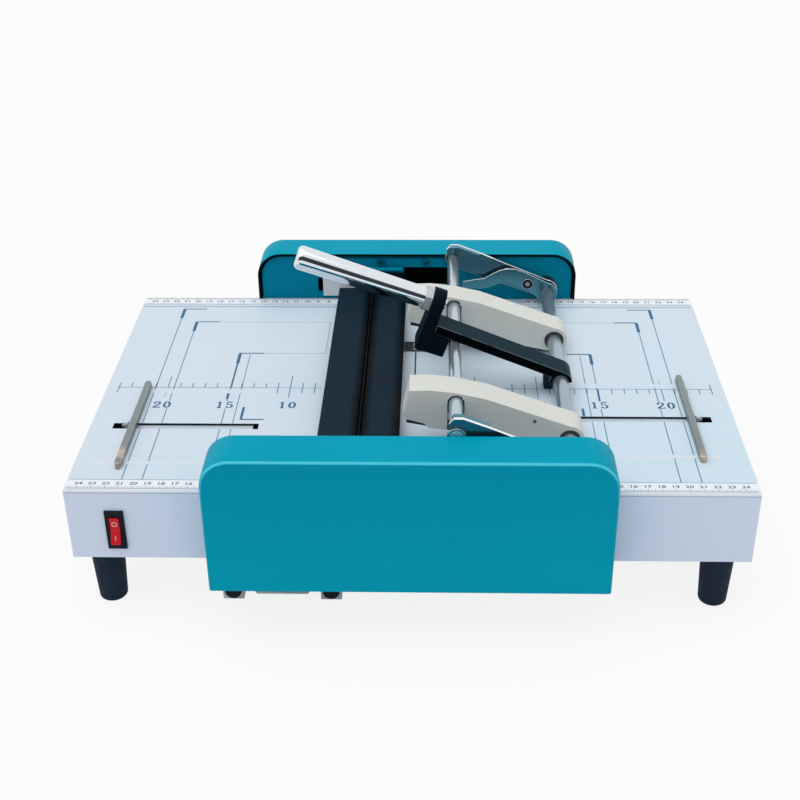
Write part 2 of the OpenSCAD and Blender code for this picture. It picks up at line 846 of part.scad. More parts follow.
// outer lever plate with a flange along its upper edge, drawn for the rear
module lever_plate() {
    at_pivot() difference() {
        union() {
            across(lever_y, lever_y + lever_t) {
                polygon([
                    [-90, 22], [-90, 40], [-86.5, 44.2], [-80, 44.2], [-60.5, 36.5], [-37.5, 26.5],
                    [-12.5, 16], [5, 8.2], [-7.6, -5.8], [-40, 6], [-62, 14], [-78, 20]
                ]);
                circle(r = 10);
            }
            across(lever_y - 5, lever_y + 0.1) polygon([
                [-88, 42.4], [-86.5, 44.2], [-80, 44.2], [-60.5, 36.5], [-61.3, 34.5], [-80.4, 42.1], [-86, 42.1]
            ]);
        }
        bar_y(0, 0, pivot_d + 2 * run, 0, half_d);
        bar_y(press_x - pivot_x, press_z - pivot_z, press_d + 2 * run, 0, half_d);
        bar_y(rivet_at[0], rivet_at[1], rivet_d + 2 * run, 0, half_d);
    }
}

// curved inner plate, riveted to the lever
module link_plate() {
    at_pivot() difference() {
        union() {
            bar_y(0, 0, pivot_d + 7, link_y, link_y + lever_t);
            across(link_y, link_y + lever_t) polygon([
                [-75.5, 11.5], [-56.5, 14.5], [-48, 19.5], [-42, 22.5], [-36, 24], [-29.5, 23.6], [-21, 20.8],
                [-12.5, 16.5], [4.2, 8.1], [-7.4, -5.2], [-14.5, 2.2], [-21.5, 6.9], [-28, 9.8], [-35.5, 10.9],
                [-44, 9], [-52.5, 5.5], [-60, 4.2], [-75.5, 5.5]
            ]);
        }
        bar_y(0, 0, pivot_d + 2 * run, 0, half_d);
        bar_y(rivet_at[0], rivet_at[1], rivet_d + 2 * run, 0, half_d);
    }
}

module front_lever() {
    color("silver") mirror([0, 1, 0]) lever_plate();
}

module rear_lever() {
    color("silver") lever_plate();
}

module front_link() {
    color("silver") mirror([0, 1, 0]) link_plate();
}

module rear_link() {
    color("silver") link_plate();
}

// collars of the press shaft, lever rivets, lock nut of the handle
module press_fasteners() {
    color("dimgray") {
        both_ends() {
            difference() {
                bar_y(press_x, press_z, collar_d, lever_y + lever_t + near, lever_y + lever_t + near + collar_t);
                bar_y(press_x, press_z, press_d + 2 * run, 0, half_d);
            }
            at_pivot() {
                bar_y(rivet_at[0], rivet_at[1], rivet_d, link_y - 2, lever_y + lever_t + 2);
                bar_y(rivet_at[0], rivet_at[1], rivet_d + 4, link_y - 2, link_y - near);
                bar_y(rivet_at[0], rivet_at[1], rivet_d + 4, lever_y + lever_t + near, lever_y + lever_t + 2);
                bar_y(rivet_at[0], rivet_at[1], rivet_d + 3, link_y + lever_t + near, lever_y - near);
            }
        }
        along_handle() translate([bracket_back - near, 0, handle_up]) rotate([0, -90, 0]) difference() {
            cylinder(d = 21, h = lock_nut_t - near, $fn = 6);
            translate([0, 0, -1]) cylinder(d = stud_d + 2 * run, h = lock_nut_t + 2);
        }
    }
}

// driver arms inside the heads, level when pressed, each with its blade
module driver_arms() {
    reach = norm([pivot_x - press_x, press_z - pivot_z]);
    top = reach * sin(press_angle - press_swing) - press_r - near;
    color("lightslategray") for (y = [front_y, rear_y]) press_level() difference() {
        union() {
            bar_y(0, 0, 2 * ear_r, y - driver_w / 2, y + driver_w / 2);
            block([-118, y - driver_w / 2, driver_low], [0, y + driver_w / 2, top]);
            block([-117.9, y - 6, channel_low + 0.2], [-116.9, y + 6, top]);
        }
        bar_y(0, 0, pivot_d + 2 * run, y - driver_w, y + driver_w);
    }
}

// cranks on the ends of the pivot shaft, inside the covers, pulled down by springs
module return_cranks() {
    color("silver") both_ends() at_pivot() difference() {
        union() {
            bar_y(0, 0, pivot_d + 8, crank_y, crank_y + crank_t);
            block([0, crank_y, -4], [crank_reach, crank_y + crank_t, 4]);
            bar_y(crank_reach, 0, 8, crank_y, crank_y + crank_t);
            bar_y(crank_reach, 0, pull_pin_d, crank_y, pull_y + 4);
        }
        bar_y(0, 0, pivot_d + 2 * run, crank_y - 1, crank_y + crank_t + 1);
    }
}

module return_springs() {
    start = pull_low + pull_pin_d / 2 + pull_wire / 2 + 0.2;
    height = pivot_z - pull_pin_d / 2 - pull_wire / 2 - 0.2 - start;
    echo(least_gap_return_spring = height / pull_turns - pull_wire);
    color("silver") both_ends() translate([pull_x, pull_y, start]) rotate([0, 0, 90])
        coil(pull_r, pull_wire, height, pull_turns);
}

// outline of a head from the pivot, and its hollow
head_top = [[-118.5, 41], [-103.5, 41.4], [-85.5, 39.4], [-62.5, 34.2], [-27.5, 21.4], [3.8, 9.9]];
head_below = [[-3.8, -10], [-19.5, -6.5], [-91.5, 7.8], [-104.1, 9.5], [-107.8, 13.4], [-120, 16.8], [-123.5, 19.5]];
module head_cover(y) {
    w = head_wall;
    inner = head_t / 2 - w;
    color("ivory") difference() {
        at_pivot() difference() {
            union() {
                across(y - head_t / 2, y + head_t / 2) polygon(concat(head_top, head_below));
                bar_y(0, 0, 2 * head_end_r, y - head_t / 2, y + head_t / 2);
            }
            // hollow, open below
            across(y - inner, y + inner) {
                polygon([
                    [-121.5 + w / 2, 10], [-121.5 + w / 2, 19.5], [-118.3 + w, 41 - w], [-103.5, 41.4 - w],
                    [-85.8, 39.4 - w], [-63, 34 - w * 1.05], [-28.2, 21 - w * 1.05], [4 - w / 2, 10 - w],
                    [4 - w / 2, -20], [-90, -20]
                ]);
                circle(r = head_end_r - w);
            }
            bar_y(0, 0, bush_d + 2 * run, y - head_t, y + head_t);
        }
        // notch for the press shaft, open below
        bar_y(press_x, press_z, 2 * notch_r, y - head_t, y + head_t);
        block([press_x - notch_r, y - head_t, table_top], [press_x + notch_r, y + head_t, press_z]);
    }
    // ribs that hold the magazine
    color("ivory") head_level() for (side = [-1, 1], p = [-72, -46])
        translate([p, y + side * (channel_w / 2 + near + inner + 1) / 2, (channel_low + channel_top) / 2 + 1.6])
            cube([4, inner + 1 - channel_w / 2 - near, 4], center = true);
}

// staple magazine: a channel with ears on the pivot shaft, open at the nose for the blade
module magazine(y) {
    w = channel_w / 2;
    color("lightsteelblue") head_level() difference() {
        union() {
            block([channel_front, y - w, channel_low], [channel_rear, y + w, channel_top]);
            across(y - w, y + w) {
                polygon([[channel_rear - 4, channel_low], [channel_rear - 4, channel_top], [-3, ear_r - 1], [-2, -8]]);
                circle(r = ear_r);
            }
            block([channel_front, y - w, channel_low], [channel_front + 8, y + w, channel_top + 4]);
        }
        block([channel_front + 1.5, y - w + channel_wall, channel_low + channel_wall],
              [channel_rear, y + w - channel_wall, 20]);
        across(y - w + channel_wall, y + w - channel_wall) polygon([
            [channel_rear - 1, channel_low + channel_wall], [channel_rear - 1, 20], [20, 20], [20, -20],
            [channel_rear + 8, -20]
        ]);
        block([channel_front + 1.5, y - w + channel_wall, channel_low - 1],
              [staple_front - 0.2, y + w - channel_wall, 0]);
        bar_y(0, 0, pivot_d + 4 * run, y - w - 1, y + w + 1);
    }
}

// strip of staples, crown up
module staples(y) {
    half = channel_w / 2 - channel_wall - 0.2;
    color("silver") head_level() difference() {
        block([staple_front, y - half, channel_low + channel_wall + 0.2],
              [staple_front + staple_len, y + half, channel_top - 0.6]);
        block([staple_front - 1, y - half + 0.6, channel_low], [staple_front + staple_len + 1, y + half - 0.6, channel_top - 1.2]);
    }
}

// bushes of a head on the pivot shaft
module head_bushes(y) {
    color("dimgray") for (side = [-1, 1]) difference() {
        bar_y(pivot_x, pivot_z, bush_d,
              y + min(side * (channel_w / 2 + 0.2), side * (head_t / 2 + bush_out)),
              y + max(side * (channel_w / 2 + 0.2), side * (head_t / 2 + bush_out)));
        bar_y(pivot_x, pivot_z, pivot_d + 2 * run, y - head_t, y + head_t);
    }
}

// pusher behind the staples
module pusher(y) {
    half = channel_w / 2 - channel_wall - 0.3;
    start = staple_front + staple_len + 0.3;
    color("gray") head_level() difference() {
        block([start, y - half, channel_low + channel_wall + 0.2], [start + pusher_len, y + half, channel_top - 0.8]);
        block([start + 2, y - half + 1.5, channel_low], [start + pusher_len + 1, y + half - 1.5, channel_top - 2.5]);
    }
}

module front_head_cover() { head_cover(front_y); }
module front_magazine() { magazine(front_y); }
module front_staples() { staples(front_y); }
module front_bushes() { head_bushes(front_y); }
module front_pusher() { pusher(front_y); }
module rear_head_cover() { head_cover(rear_y); }
module rear_magazine() { magazine(rear_y); }
module rear_staples() { staples(rear_y); }
module rear_bushes() { head_bushes(rear_y); }
module rear_pusher() { pusher(rear_y); }

// stop bar with its clamp tab, drawn for the right
module stop_bar(y) {
    low = table_top + 0.2;
    translate([stop_x, y, 0]) difference() {
        union() {
            block([-stop_w / 2, -stop_len / 2 + stop_w / 2, low], [stop_w / 2, stop_len / 2 - stop_w / 2, low + stop_h]);
            for (end = [-1, 1])
                translate([0, end * (stop_len - stop_w) / 2, low]) cylinder(d = stop_w, h = stop_h);
            block([0, -tab_w / 2, low], [tab_reach, tab_w / 2, low + tab_t]);
        }
        translate([clamp_at, 0, low - 1]) cylinder(d = clamp_d + 2 * near, h = tab_t + 2);
    }
}

// clamp screw, plate and cover strip below the slot, drawn for the right
module stop_slider(y) {
    top = under_top - 0.2;
    head = table_top + 0.2 + tab_t + near;
    translate([stop_x, y, 0]) {
        translate([clamp_at, 0, head]) cylinder(d = clamp_head_d, h = clamp_head_h);
        translate([clamp_at, 0, top - slider_t]) cylinder(d = clamp_d, h = head + 1 - top + slider_t);
        block([-12, -11, top - slider_t], [tab_reach - 1, 11, top]);
        block([-92, -6, top - 1.2], [-11, 6, top]);
    }
}

module left_stop() {
    color("darkgray") mirror([1, 0, 0]) stop_bar(left_stop_y);
}

module right_stop() {
    color("darkgray") stop_bar(right_stop_y);
}

module left_slider() {
    color("lightgray") mirror([1, 0, 0]) stop_slider(left_stop_y);
}

module right_slider() {
    color("lightgray") stop_slider(right_stop_y);
}

// fold knife: a strip in the bridge gap, held by links in both covers
module knife_blade() {
    end = pull_coil_y - 1.5 - near;
    color("lightsteelblue") block([fold_x - knife_t / 2, -end, knife_low],
                                  [fold_x + knife_t / 2, end, knife_low + knife_h]);
}

module knife_links() {
    color("gray") both_ends() {
        block([fold_x - 4, pull_coil_y - 1.5, collar_z], [fold_x + 4, pull_coil_y + 1.5, knife_low + knife_h + 1]);
        translate([fold_x, pull_coil_y, collar_z]) cylinder(d = 14, h = 2);
        translate([fold_x, pull_coil_y, coil_top - 4]) cylinder(d = plunger_d - 2 * run, h = collar_z - coil_top + 4.5);
    }
}

module knife_springs() {
    start = coil_top + knife_wire / 2 + 0.1;
    height = collar_z - coil_top - knife_wire - 0.2;
    echo(least_gap_knife_spring = height / knife_turns - knife_wire);
    color("silver") both_ends() translate([fold_x, pull_coil_y, start])
        coil(knife_spring_r, knife_wire, height, knife_turns);
}

// fold roller with its journals
module fold_roller(x) {
    color("dimgray") {
        bar_y(x, roller_z, roller_d, -half_d + 8, half_d - 8);
        bar_y(x, roller_z, journal_d, -frame_out - 3, gear_y + gear_w + 1);
    }
}

module left_roller() { fold_roller(left_roller_x); }
module right_roller() { fold_roller(right_roller_x); }

module left_gear() {
    color("beige") gear(gear_teeth, left_roller_x, roller_z, 0, journal_d + 2 * run);
}

module right_gear() {
    color("beige") gear(gear_teeth, right_roller_x, roller_z, 0, journal_d + 2 * run);
}

module idler_gear() {
    color("beige") gear(gear_teeth, idler_x, roller_z, 0, idler_pin_d + 2 * run);
}

// pinion and motor shaft, a gap of the pinion facing the idler
module motor_pinion() {
    face = half_d - sheet_t - near;
    color("silver") {
        gear(pinion_teeth, pinion_x, pinion_z, pinion_turn + 180 + 180 / pinion_teeth, 1);
        bar_y(pinion_x, pinion_z, motor_shaft_d, face - 14, gear_y + gear_w + 1);
    }
}

table();
base_plate();
ruler_strips();
feet();
pan_screws();
front_frame();
rear_frame();
front_cover();
rear_cover();
window_bracket();
bridge_brackets();
bridge_left();
bridge_right();
anvils();
arm_buffer();
frame_bushes();
switch_frame();
switch_rocker();
power_inlet();
motor();
solenoids();
delivery_chute();
chute_rails();
rail_plugs();
pivot_shaft();
press_shaft();
press_arm();
handle_bracket();
handle();
front_lever();
rear_lever();
front_link();
rear_link();
press_fasteners();
driver_arms();
return_cranks();
return_springs();
front_head_cover();
front_magazine();
front_staples();
front_bushes();
front_pusher();
rear_head_cover();
rear_magazine();
rear_staples();
rear_bushes();
rear_pusher();
left_stop();
left_slider();
right_stop();
right_slider();
knife_blade();
knife_links();
knife_springs();
left_roller();
right_roller();
left_gear();
right_gear();
idler_gear();
motor_pinion();
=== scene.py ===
"""Looks of the booklet stapler: materials, rounded edges, printed scale, stage, light and camera."""

import math

import bmesh
import bpy
from mathutils import Matrix, Vector

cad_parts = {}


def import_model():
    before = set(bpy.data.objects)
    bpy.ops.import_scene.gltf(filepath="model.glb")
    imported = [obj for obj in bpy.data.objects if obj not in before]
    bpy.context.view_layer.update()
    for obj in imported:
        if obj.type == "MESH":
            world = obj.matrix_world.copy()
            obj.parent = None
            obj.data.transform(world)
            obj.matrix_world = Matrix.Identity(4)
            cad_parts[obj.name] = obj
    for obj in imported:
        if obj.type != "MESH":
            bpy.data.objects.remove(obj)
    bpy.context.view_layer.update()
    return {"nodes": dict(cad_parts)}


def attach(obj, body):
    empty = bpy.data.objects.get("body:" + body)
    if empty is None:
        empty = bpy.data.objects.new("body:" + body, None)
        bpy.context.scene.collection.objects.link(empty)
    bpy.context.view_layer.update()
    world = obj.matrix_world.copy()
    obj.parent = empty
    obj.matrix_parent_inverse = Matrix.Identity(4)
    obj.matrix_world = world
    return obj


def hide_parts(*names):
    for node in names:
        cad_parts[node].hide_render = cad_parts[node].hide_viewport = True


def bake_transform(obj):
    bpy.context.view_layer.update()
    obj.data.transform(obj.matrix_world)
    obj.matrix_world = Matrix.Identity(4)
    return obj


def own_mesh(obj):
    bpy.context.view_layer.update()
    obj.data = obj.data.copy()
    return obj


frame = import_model()
nodes = frame["nodes"]

MM = 0.001             # the frame is in metres, the lengths in this script are in mm

TABLE_TOP = 110.0      # above the floor
TABLE_HALF_D = 157.5   # half the depth of the table, along Y
SHEET_FRONT = -159.5   # where the front edge of a sheet lies, along Y
FOLD_X = -39.5         # middle of the gap between the bridge plates, along X
SIDES = (-1, 1)        # left and right, or front and rear


def new_object(name, data):
    """Puts an object with these data into the scene."""
    obj = bpy.data.objects.new(name, data)
    bpy.context.scene.collection.objects.link(obj)
    return obj


# Colours and node trees

WHITE = (1.0, 1.0, 1.0, 1.0)
NOISE_RANGE = (0.3, 0.7)   # nearly all of a noise lies between these values


def lin(r, g, b):
    """Screen colour 0-255 to linear."""
    out = []
    for c in (r, g, b):
        c /= 255.0
        out.append(c / 12.92 if c <= 0.04045 else ((c + 0.055) / 1.055) ** 2.4)
    return tuple(out) + (1.0,)


def scaled(rgba, k):
    """A colour made lighter or darker."""
    return tuple(min(1.0, c * k) for c in rgba[:3]) + (1.0,)


class Nodes:
    """Short ways to add nodes to one node tree."""

    def __init__(self, tree):
        self.tree = tree

    def node(self, kind, **values):
        """A new node with these properties."""
        n = self.tree.nodes.new(kind)
        for key, value in values.items():
            setattr(n, key, value)
        return n

    def link(self, a, b):
        """Connects an output to an input."""
        self.tree.links.new(a, b)

    def ramp(self, source, low, high, a=0.0, b=1.0, curve="LINEAR"):
        """Goes from a to b while the source goes from low to high."""
        n = self.node("ShaderNodeMapRange", interpolation_type=curve)
        for key, value in (("From Min", low), ("From Max", high), ("To Min", a), ("To Max", b)):
            n.inputs[key].default_value = value
        self.link(source, n.inputs["Value"])
        return n.outputs["Result"]

    def math(self, operation, *values):
        """Calculates with numbers or outputs of other nodes."""
        n = self.node("ShaderNodeMath", operation=operation)
        for socket, value in zip(n.inputs, values):
            if isinstance(value, (int, float)):
                socket.default_value = value
            else:
                self.link(value, socket)
        return n.outputs["Value"]

    def times(self, a, b):
        """The product, which is 1 only where both are."""
        return self.math("MULTIPLY", a, b)

    def larger(self, a, b):
        """The larger value, which is 1 where either is."""
        return self.math("MAXIMUM", a, b)

    def size(self, a):
        """A value without its sign."""
        return self.math("ABSOLUTE", a)

    def part(self, source, axis):
        """One component of a vector."""
        split = self.node("ShaderNodeSeparateXYZ")
        self.link(source, split.inputs["Vector"])
        return split.outputs[axis]

    def either(self, share, a, b):
        """Shader a, or shader b where share is 1."""
        mix = self.node("ShaderNodeMixShader")
        self.link(share, mix.inputs["Fac"])
        self.link(a, mix.inputs[1])
        self.link(b, mix.inputs[2])
        return mix.outputs["Shader"]

    def seen_directly(self):
        """1 for rays that show the surroundings: from the camera, or mirrored or passed on to it."""
        rays = self.node("ShaderNodeLightPath").outputs
        seen = self.larger(rays["Is Camera Ray"], rays["Is Glossy Ray"])
        return self.larger(seen, rays["Is Transmission Ray"])


class Surface(Nodes):
    """A principled material with procedural colour, roughness and relief."""

    def __init__(self, name, colour, rough, metal=0.0, gloss=0.5):
        self.mat = bpy.data.materials.new(name)
        self.mat.use_nodes = True
        self.mat.diffuse_color = colour
        super().__init__(self.mat.node_tree)
        self.bsdf = self.tree.nodes["Principled BSDF"]
        self.bsdf.inputs["Metallic"].default_value = metal
        self.bsdf.inputs["Specular IOR Level"].default_value = gloss
        self.colour = colour
        self.rough = rough
        places = self.node("ShaderNodeTexCoord")
        self.coords = places.outputs["Object"]
        self.normals = places.outputs["Normal"]
        self.colour_out = None
        self.normal_out = None

    def noise(self, scale, detail=2.0, stretch=None):
        """A noise over the object, drawn out along the axes that have a small stretch value."""
        n = self.node("ShaderNodeTexNoise")
        n.inputs["Scale"].default_value = scale
        n.inputs["Detail"].default_value = detail
        place = self.coords
        if stretch:
            mapping = self.node("ShaderNodeMapping")
            mapping.inputs["Scale"].default_value = stretch
            self.link(place, mapping.inputs["Vector"])
            place = mapping.outputs["Vector"]
        self.link(place, n.inputs["Vector"])
        return n.outputs["Fac"]

    def patches(self, scale, detail, low, high):
        """Irregular spots for worn places; a lower range gives more of them."""
        return self.ramp(self.noise(scale, detail), low, high)

    def within(self, axis, low, high):
        """1 between two places along an axis, in mm."""
        place = self.part(self.coords, axis)
        above = self.math("GREATER_THAN", place, low * MM)
        below = self.math("LESS_THAN", place, high * MM)
        return self.times(above, below)

    def fade(self, axis, start, end):
        """0 at one place along an axis and 1 at another, in mm."""
        return self.ramp(self.part(self.coords, axis), start * MM, end * MM)

    def facing(self, axis):
        """1 on faces that look along an axis either way, 0 on faces that lie along it."""
        look = self.part(self.normals, axis)
        return self.times(look, look)

    def turning(self, axis):
        """Above 0 only where a face that looks along an axis turns over into its edge."""
        facing = self.facing(axis)
        return self.times(facing, self.math("SUBTRACT", 1.0, facing))

    def tint(self, mask, colour, amount=1.0):
        """Mixes a colour in where mask is high."""
        mix = self.node("ShaderNodeMix", data_type="RGBA")
        if self.colour_out is None:
            mix.inputs["A"].default_value = self.colour
        else:
            self.link(self.colour_out, mix.inputs["A"])
        mix.inputs["B"].default_value = colour
        if amount != 1.0:
            mask = self.ramp(mask, 0.0, 1.0, 0.0, amount)
        self.link(mask, mix.inputs["Factor"])
        self.colour_out = mix.outputs["Result"]
        return self

    def mottle(self, scale, spread, detail=3.0, stretch=None):
        """Slow drift of the colour to a darker one."""
        drift = self.ramp(self.noise(scale, detail, stretch), *NOISE_RANGE)
        return self.tint(drift, scaled(self.colour, 1.0 - spread))

    def rough_drift(self, scale, spread, stretch=None):
        """Slow drift of the roughness to both sides."""
        low = max(0.02, self.rough - spread)
        high = min(1.0, self.rough + spread)
        drift = self.ramp(self.noise(scale, 3.0, stretch), *NOISE_RANGE, low, high)
        self.link(drift, self.bsdf.inputs["Roughness"])
        return self

    def grain(self, scale, height, strength, stretch=None):
        """Fine surface relief, height in mm."""
        bump = self.node("ShaderNodeBump")
        bump.inputs["Strength"].default_value = strength
        bump.inputs["Distance"].default_value = height * MM
        self.link(self.noise(scale, stretch=stretch), bump.inputs["Height"])
        self.normal_out = bump.outputs["Normal"]
        return self

    def coat_relief(self):
        """The uneven gloss and the fine relief of a powder coat."""
        return self.rough_drift(60.0, spread=0.05).grain(900.0, height=0.06, strength=0.12)

    def drawn(self, streak, stretch):
        """The fine streaks of rolled or drawn metal."""
        self.mottle(40.0, streak, detail=4.0, stretch=stretch)
        self.rough_drift(120.0, spread=0.06, stretch=stretch)
        return self.grain(160.0, height=0.03, strength=0.08, stretch=stretch)

    def edge_tint(self, colour, radius, amount, patchy=True):
        """Another colour along the edges, rubbed in patches or even; radius in mm."""
        bevel = self.node("ShaderNodeBevel", samples=4)
        bevel.inputs["Radius"].default_value = radius * MM
        geometry = self.node("ShaderNodeNewGeometry")
        dot = self.node("ShaderNodeVectorMath", operation="DOT_PRODUCT")
        self.link(bevel.outputs["Normal"], dot.inputs[0])
        self.link(geometry.outputs["Normal"], dot.inputs[1])
        edge = self.ramp(dot.outputs["Value"], 0.985, 0.9)
        if patchy:
            edge = self.times(edge, self.patches(90.0, 4.0, 0.42, 0.62))
        return self.tint(edge, colour, amount)

    def done(self):
        """Connects what was collected and gives the material."""
        if self.colour_out is None:
            self.bsdf.inputs["Base Color"].default_value = self.colour
        else:
            self.link(self.colour_out, self.bsdf.inputs["Base Color"])
        if not self.bsdf.inputs["Roughness"].is_linked:
            self.bsdf.inputs["Roughness"].default_value = self.rough
        if self.normal_out is not None:
            self.link(self.normal_out, self.bsdf.inputs["Normal"])
        return self.mat


# Paints

def coated(name, colour, rough, gloss):
    """The base of every powder coat: slow drift of colour and gloss, fine relief."""
    return Surface(name, colour, rough, gloss=gloss).mottle(14.0, spread=0.05).coat_relief()


def powder_paint(name, colour, rough, gloss, worn=None):
    """Plain powder coat, rubbed along the edges where a worn colour is given."""
    s = coated(name, colour, rough, gloss)
    if worn:
        s.edge_tint(worn, radius=0.7, amount=0.5)
    return s.done()


def looking_inwards(s):
    """1 on the faces of a cover that look towards the middle of the part or down from its roof."""
    inward = []
    for axis in "XY":
        look = s.times(s.part(s.normals, axis), s.part(s.coords, axis))
        inward.append(s.math("LESS_THAN", look, -30.0 * MM))
    down = s.math("LESS_THAN", s.part(s.normals, "Z"), -0.5)
    roof = s.times(down, s.within("Z", 60.0, 200.0))
    return s.larger(s.larger(*inward), roof)


def cover_paint(name, colour, shade, rim_highlight, inner_shade):
    """Teal paint, with painted shade deepening towards the top of the large faces, a painted highlight along
    the turned top edge, and painted shade on the faces that look into the cover.
    """
    s = coated(name, colour, rough=0.42, gloss=0.03)
    # painted shade: the large front and rear faces darken towards the top
    large = s.math("GREATER_THAN", s.size(s.part(s.normals, "Y")), 0.95)
    s.tint(s.times(large, s.fade("Z", 60.0, 150.0)), shade)
    # painted highlight: a light band where the faces turn over into the top edge
    turned = s.ramp(s.turning("Y"), 0.04, 0.2)
    s.tint(s.times(turned, s.fade("Z", 125.0, 145.0)), rim_highlight, 0.7)
    # painted shade: the faces that look into the cover are darkened
    return s.tint(looking_inwards(s), inner_shade).done()


def frame_paint(name, colour, gap):
    """Teal paint of the inner panels, with painted shadow along their edges where they meet the covers."""
    s = coated(name, colour, rough=0.45, gloss=0.03)
    # painted shadow: every sharp edge of the panel is darkened, for the gap under the covers
    return s.edge_tint(gap, radius=1.2, amount=0.85, patchy=False).done()


def arm_paint(name, colour, side, worn):
    """Black paint with painted shade on the sides, and rubbed edges between them and the top."""
    s = coated(name, colour, rough=0.4, gloss=0.03)
    # painted shade: the faces that look along Y are darker than the top
    s.tint(s.ramp(s.facing("Y"), 0.5, 0.9), side)
    rubbed = s.times(s.ramp(s.turning("Y"), 0.08, 0.2), s.patches(90.0, 4.0, 0.3, 0.5))
    return s.tint(rubbed, worn, 0.8).done()


def bridge_paint(name, colour, edge):
    """Dark paint with painted shade towards the knife gap and along the right edge."""
    s = coated(name, colour, rough=0.45, gloss=0.02)
    # painted shade: darker within a few mm of the knife gap and towards the right edge
    from_gap = s.size(s.math("SUBTRACT", s.part(s.coords, "X"), FOLD_X * MM))
    shade_near_gap = s.ramp(from_gap, 8.5 * MM, 3.0 * MM)
    shade_at_right_edge = s.fade("X", -17.5, -10.5)
    return s.tint(s.larger(shade_near_gap, shade_at_right_edge), edge, 0.95).done()


def table_paint(name, colour, drift, faces, film, line, inner_shade):
    """White paint that drifts between two tints, with a bluer copy on the upright faces as painted cool
    light, and the slot walls darkened: painted shade over their bare cut metal.
    The ruler film is turned over the front and rear edges and ends in a thin painted shadow line."""
    s = Surface(name, colour, 0.42, gloss=0.1).coat_relief()
    s.tint(s.patches(5.0, 1.0, 0.35, 0.65), drift)
    # painted light: the upright faces get a bluer copy of the white, for the cool light on them
    upright = s.math("LESS_THAN", s.part(s.normals, "Z"), 0.4)
    s.tint(upright, faces)
    from_middle = s.size(s.part(s.coords, "Y"))
    ends = s.math("GREATER_THAN", from_middle, (TABLE_HALF_D - 0.7) * MM)
    film_end = TABLE_TOP - 1.9
    s.tint(s.times(ends, s.within("Z", film_end, TABLE_TOP + 1.0)), film)
    # painted shadow: a thin grey line below where the film ends
    s.tint(s.times(ends, s.within("Z", film_end - 0.9, film_end)), line)
    # painted shade: the walls of the slots are darkened, over their bare cut metal
    inner = s.times(s.within("X", -245.0, 245.0), s.within("Y", -150.0, 150.0))
    shaded_slot_walls = s.times(s.within("Z", TABLE_TOP - 2.1, TABLE_TOP - 0.25), inner)
    return s.tint(shaded_slot_walls, inner_shade).done()


# Metals, plastics, rubber and inks

ALONG_X = (0.05, 1.0, 1.0)     # stretch of the streaks in a metal
ALONG_Y = (1.0, 0.04, 1.0)
AROUND_Y = (0.06, 1.0, 0.06)


def steel(name, colour, rough, stretch, streak=0.12, metal=1.0, edge=None):
    """Rolled or drawn steel, with lighter edges where their colour is given."""
    s = Surface(name, colour, rough, metal=metal).drawn(streak, stretch)
    if edge:
        s.edge_tint(edge, radius=1.1, amount=0.9, patchy=False)
    return s.done()


def stamped(name, colour, rim_highlight, start):
    """Plated sheet steel lying across Y, with a painted highlight on the cut edges farther out than start, in
    mm.
    """
    s = Surface(name, colour, 0.18, metal=0.85).drawn(0.08, ALONG_X)
    # painted highlight: a near-white colour on the cut edges
    cut = s.math("LESS_THAN", s.size(s.part(s.normals, "Y")), 0.8)
    outer = s.math("GREATER_THAN", s.size(s.part(s.coords, "Y")), start * MM)
    return s.tint(s.times(cut, outer), rim_highlight).done()


def stop_bar(name, colour, edge, worn):
    """Bare bar stock with drawn streaks, light edges and rubbed front ends."""
    s = Surface(name, colour, 0.45, metal=0.4)
    s.mottle(70.0, spread=0.3, detail=4.0, stretch=ALONG_Y)
    s.rough_drift(120.0, spread=0.1, stretch=ALONG_Y)
    s.grain(160.0, height=0.05, strength=0.12, stretch=ALONG_Y)
    s.edge_tint(edge, radius=0.9, amount=0.6, patchy=False)
    front_end = s.fade("Y", -104.0, -116.0)
    return s.tint(s.times(front_end, s.patches(110.0, 3.0, 0.3, 0.55)), worn).done()


def ground(name, colour, rough):
    """A ground steel shaft."""
    s = Surface(name, colour, rough, metal=0.75)
    return s.mottle(30.0, spread=0.05).rough_drift(40.0, spread=0.04).done()


def chrome(name, colour):
    """Polished chrome plate."""
    s = Surface(name, colour, 0.07, metal=1.0)
    return s.mottle(30.0, spread=0.04).rough_drift(45.0, spread=0.03).done()


def moulded(name, colour, rough, spread=0.04, worn=None, gloss=0.35):
    """Moulded plastic, rubbed along the edges where a worn colour is given."""
    s = Surface(name, colour, rough, gloss=gloss).mottle(25.0, spread).rough_drift(80.0, spread=0.06)
    s.grain(1400.0, height=0.04, strength=0.15)
    if worn:
        s.edge_tint(worn, radius=0.6, amount=0.4)
    return s.done()


def rubber(name, colour):
    """Matt rubber."""
    s = Surface(name, colour, 0.62, gloss=0.06).mottle(30.0, spread=0.12).rough_drift(150.0, spread=0.08)
    return s.grain(700.0, height=0.08, strength=0.3).done()


def ink(name, colour, spread, scale=400.0, rough=0.5):
    """Printing ink of uneven strength."""
    return Surface(name, colour, rough).mottle(scale, spread).done()


# the table white carries painted light: a bluer tint on the upright faces, a painted shadow line under the
# turned film and painted shade in the slots
TABLE_WHITE = table_paint("table_white", lin(215, 227, 239), drift=lin(208, 229, 242),
                          faces=lin(214, 227, 247), film=lin(238, 245, 255), line=lin(176, 188, 208),
                          inner_shade=lin(20, 30, 40))
# the teal carries painted shade towards the top and on its inward faces, and a painted highlight along the
# top edge
TEAL = cover_paint("teal", lin(0, 160, 188), shade=lin(0, 148, 179), rim_highlight=lin(96, 220, 240),
                   inner_shade=lin(4, 26, 32))
# the panel teal carries a painted shadow along its edges
TEAL_FRAME = frame_paint("teal_frame", lin(0, 132, 164), gap=lin(0, 22, 30))
# the bridge plates carry painted shade near the knife gap and the right edge
DARK_PLATE = bridge_paint("dark_plate", lin(26, 44, 57), edge=lin(3, 9, 14))
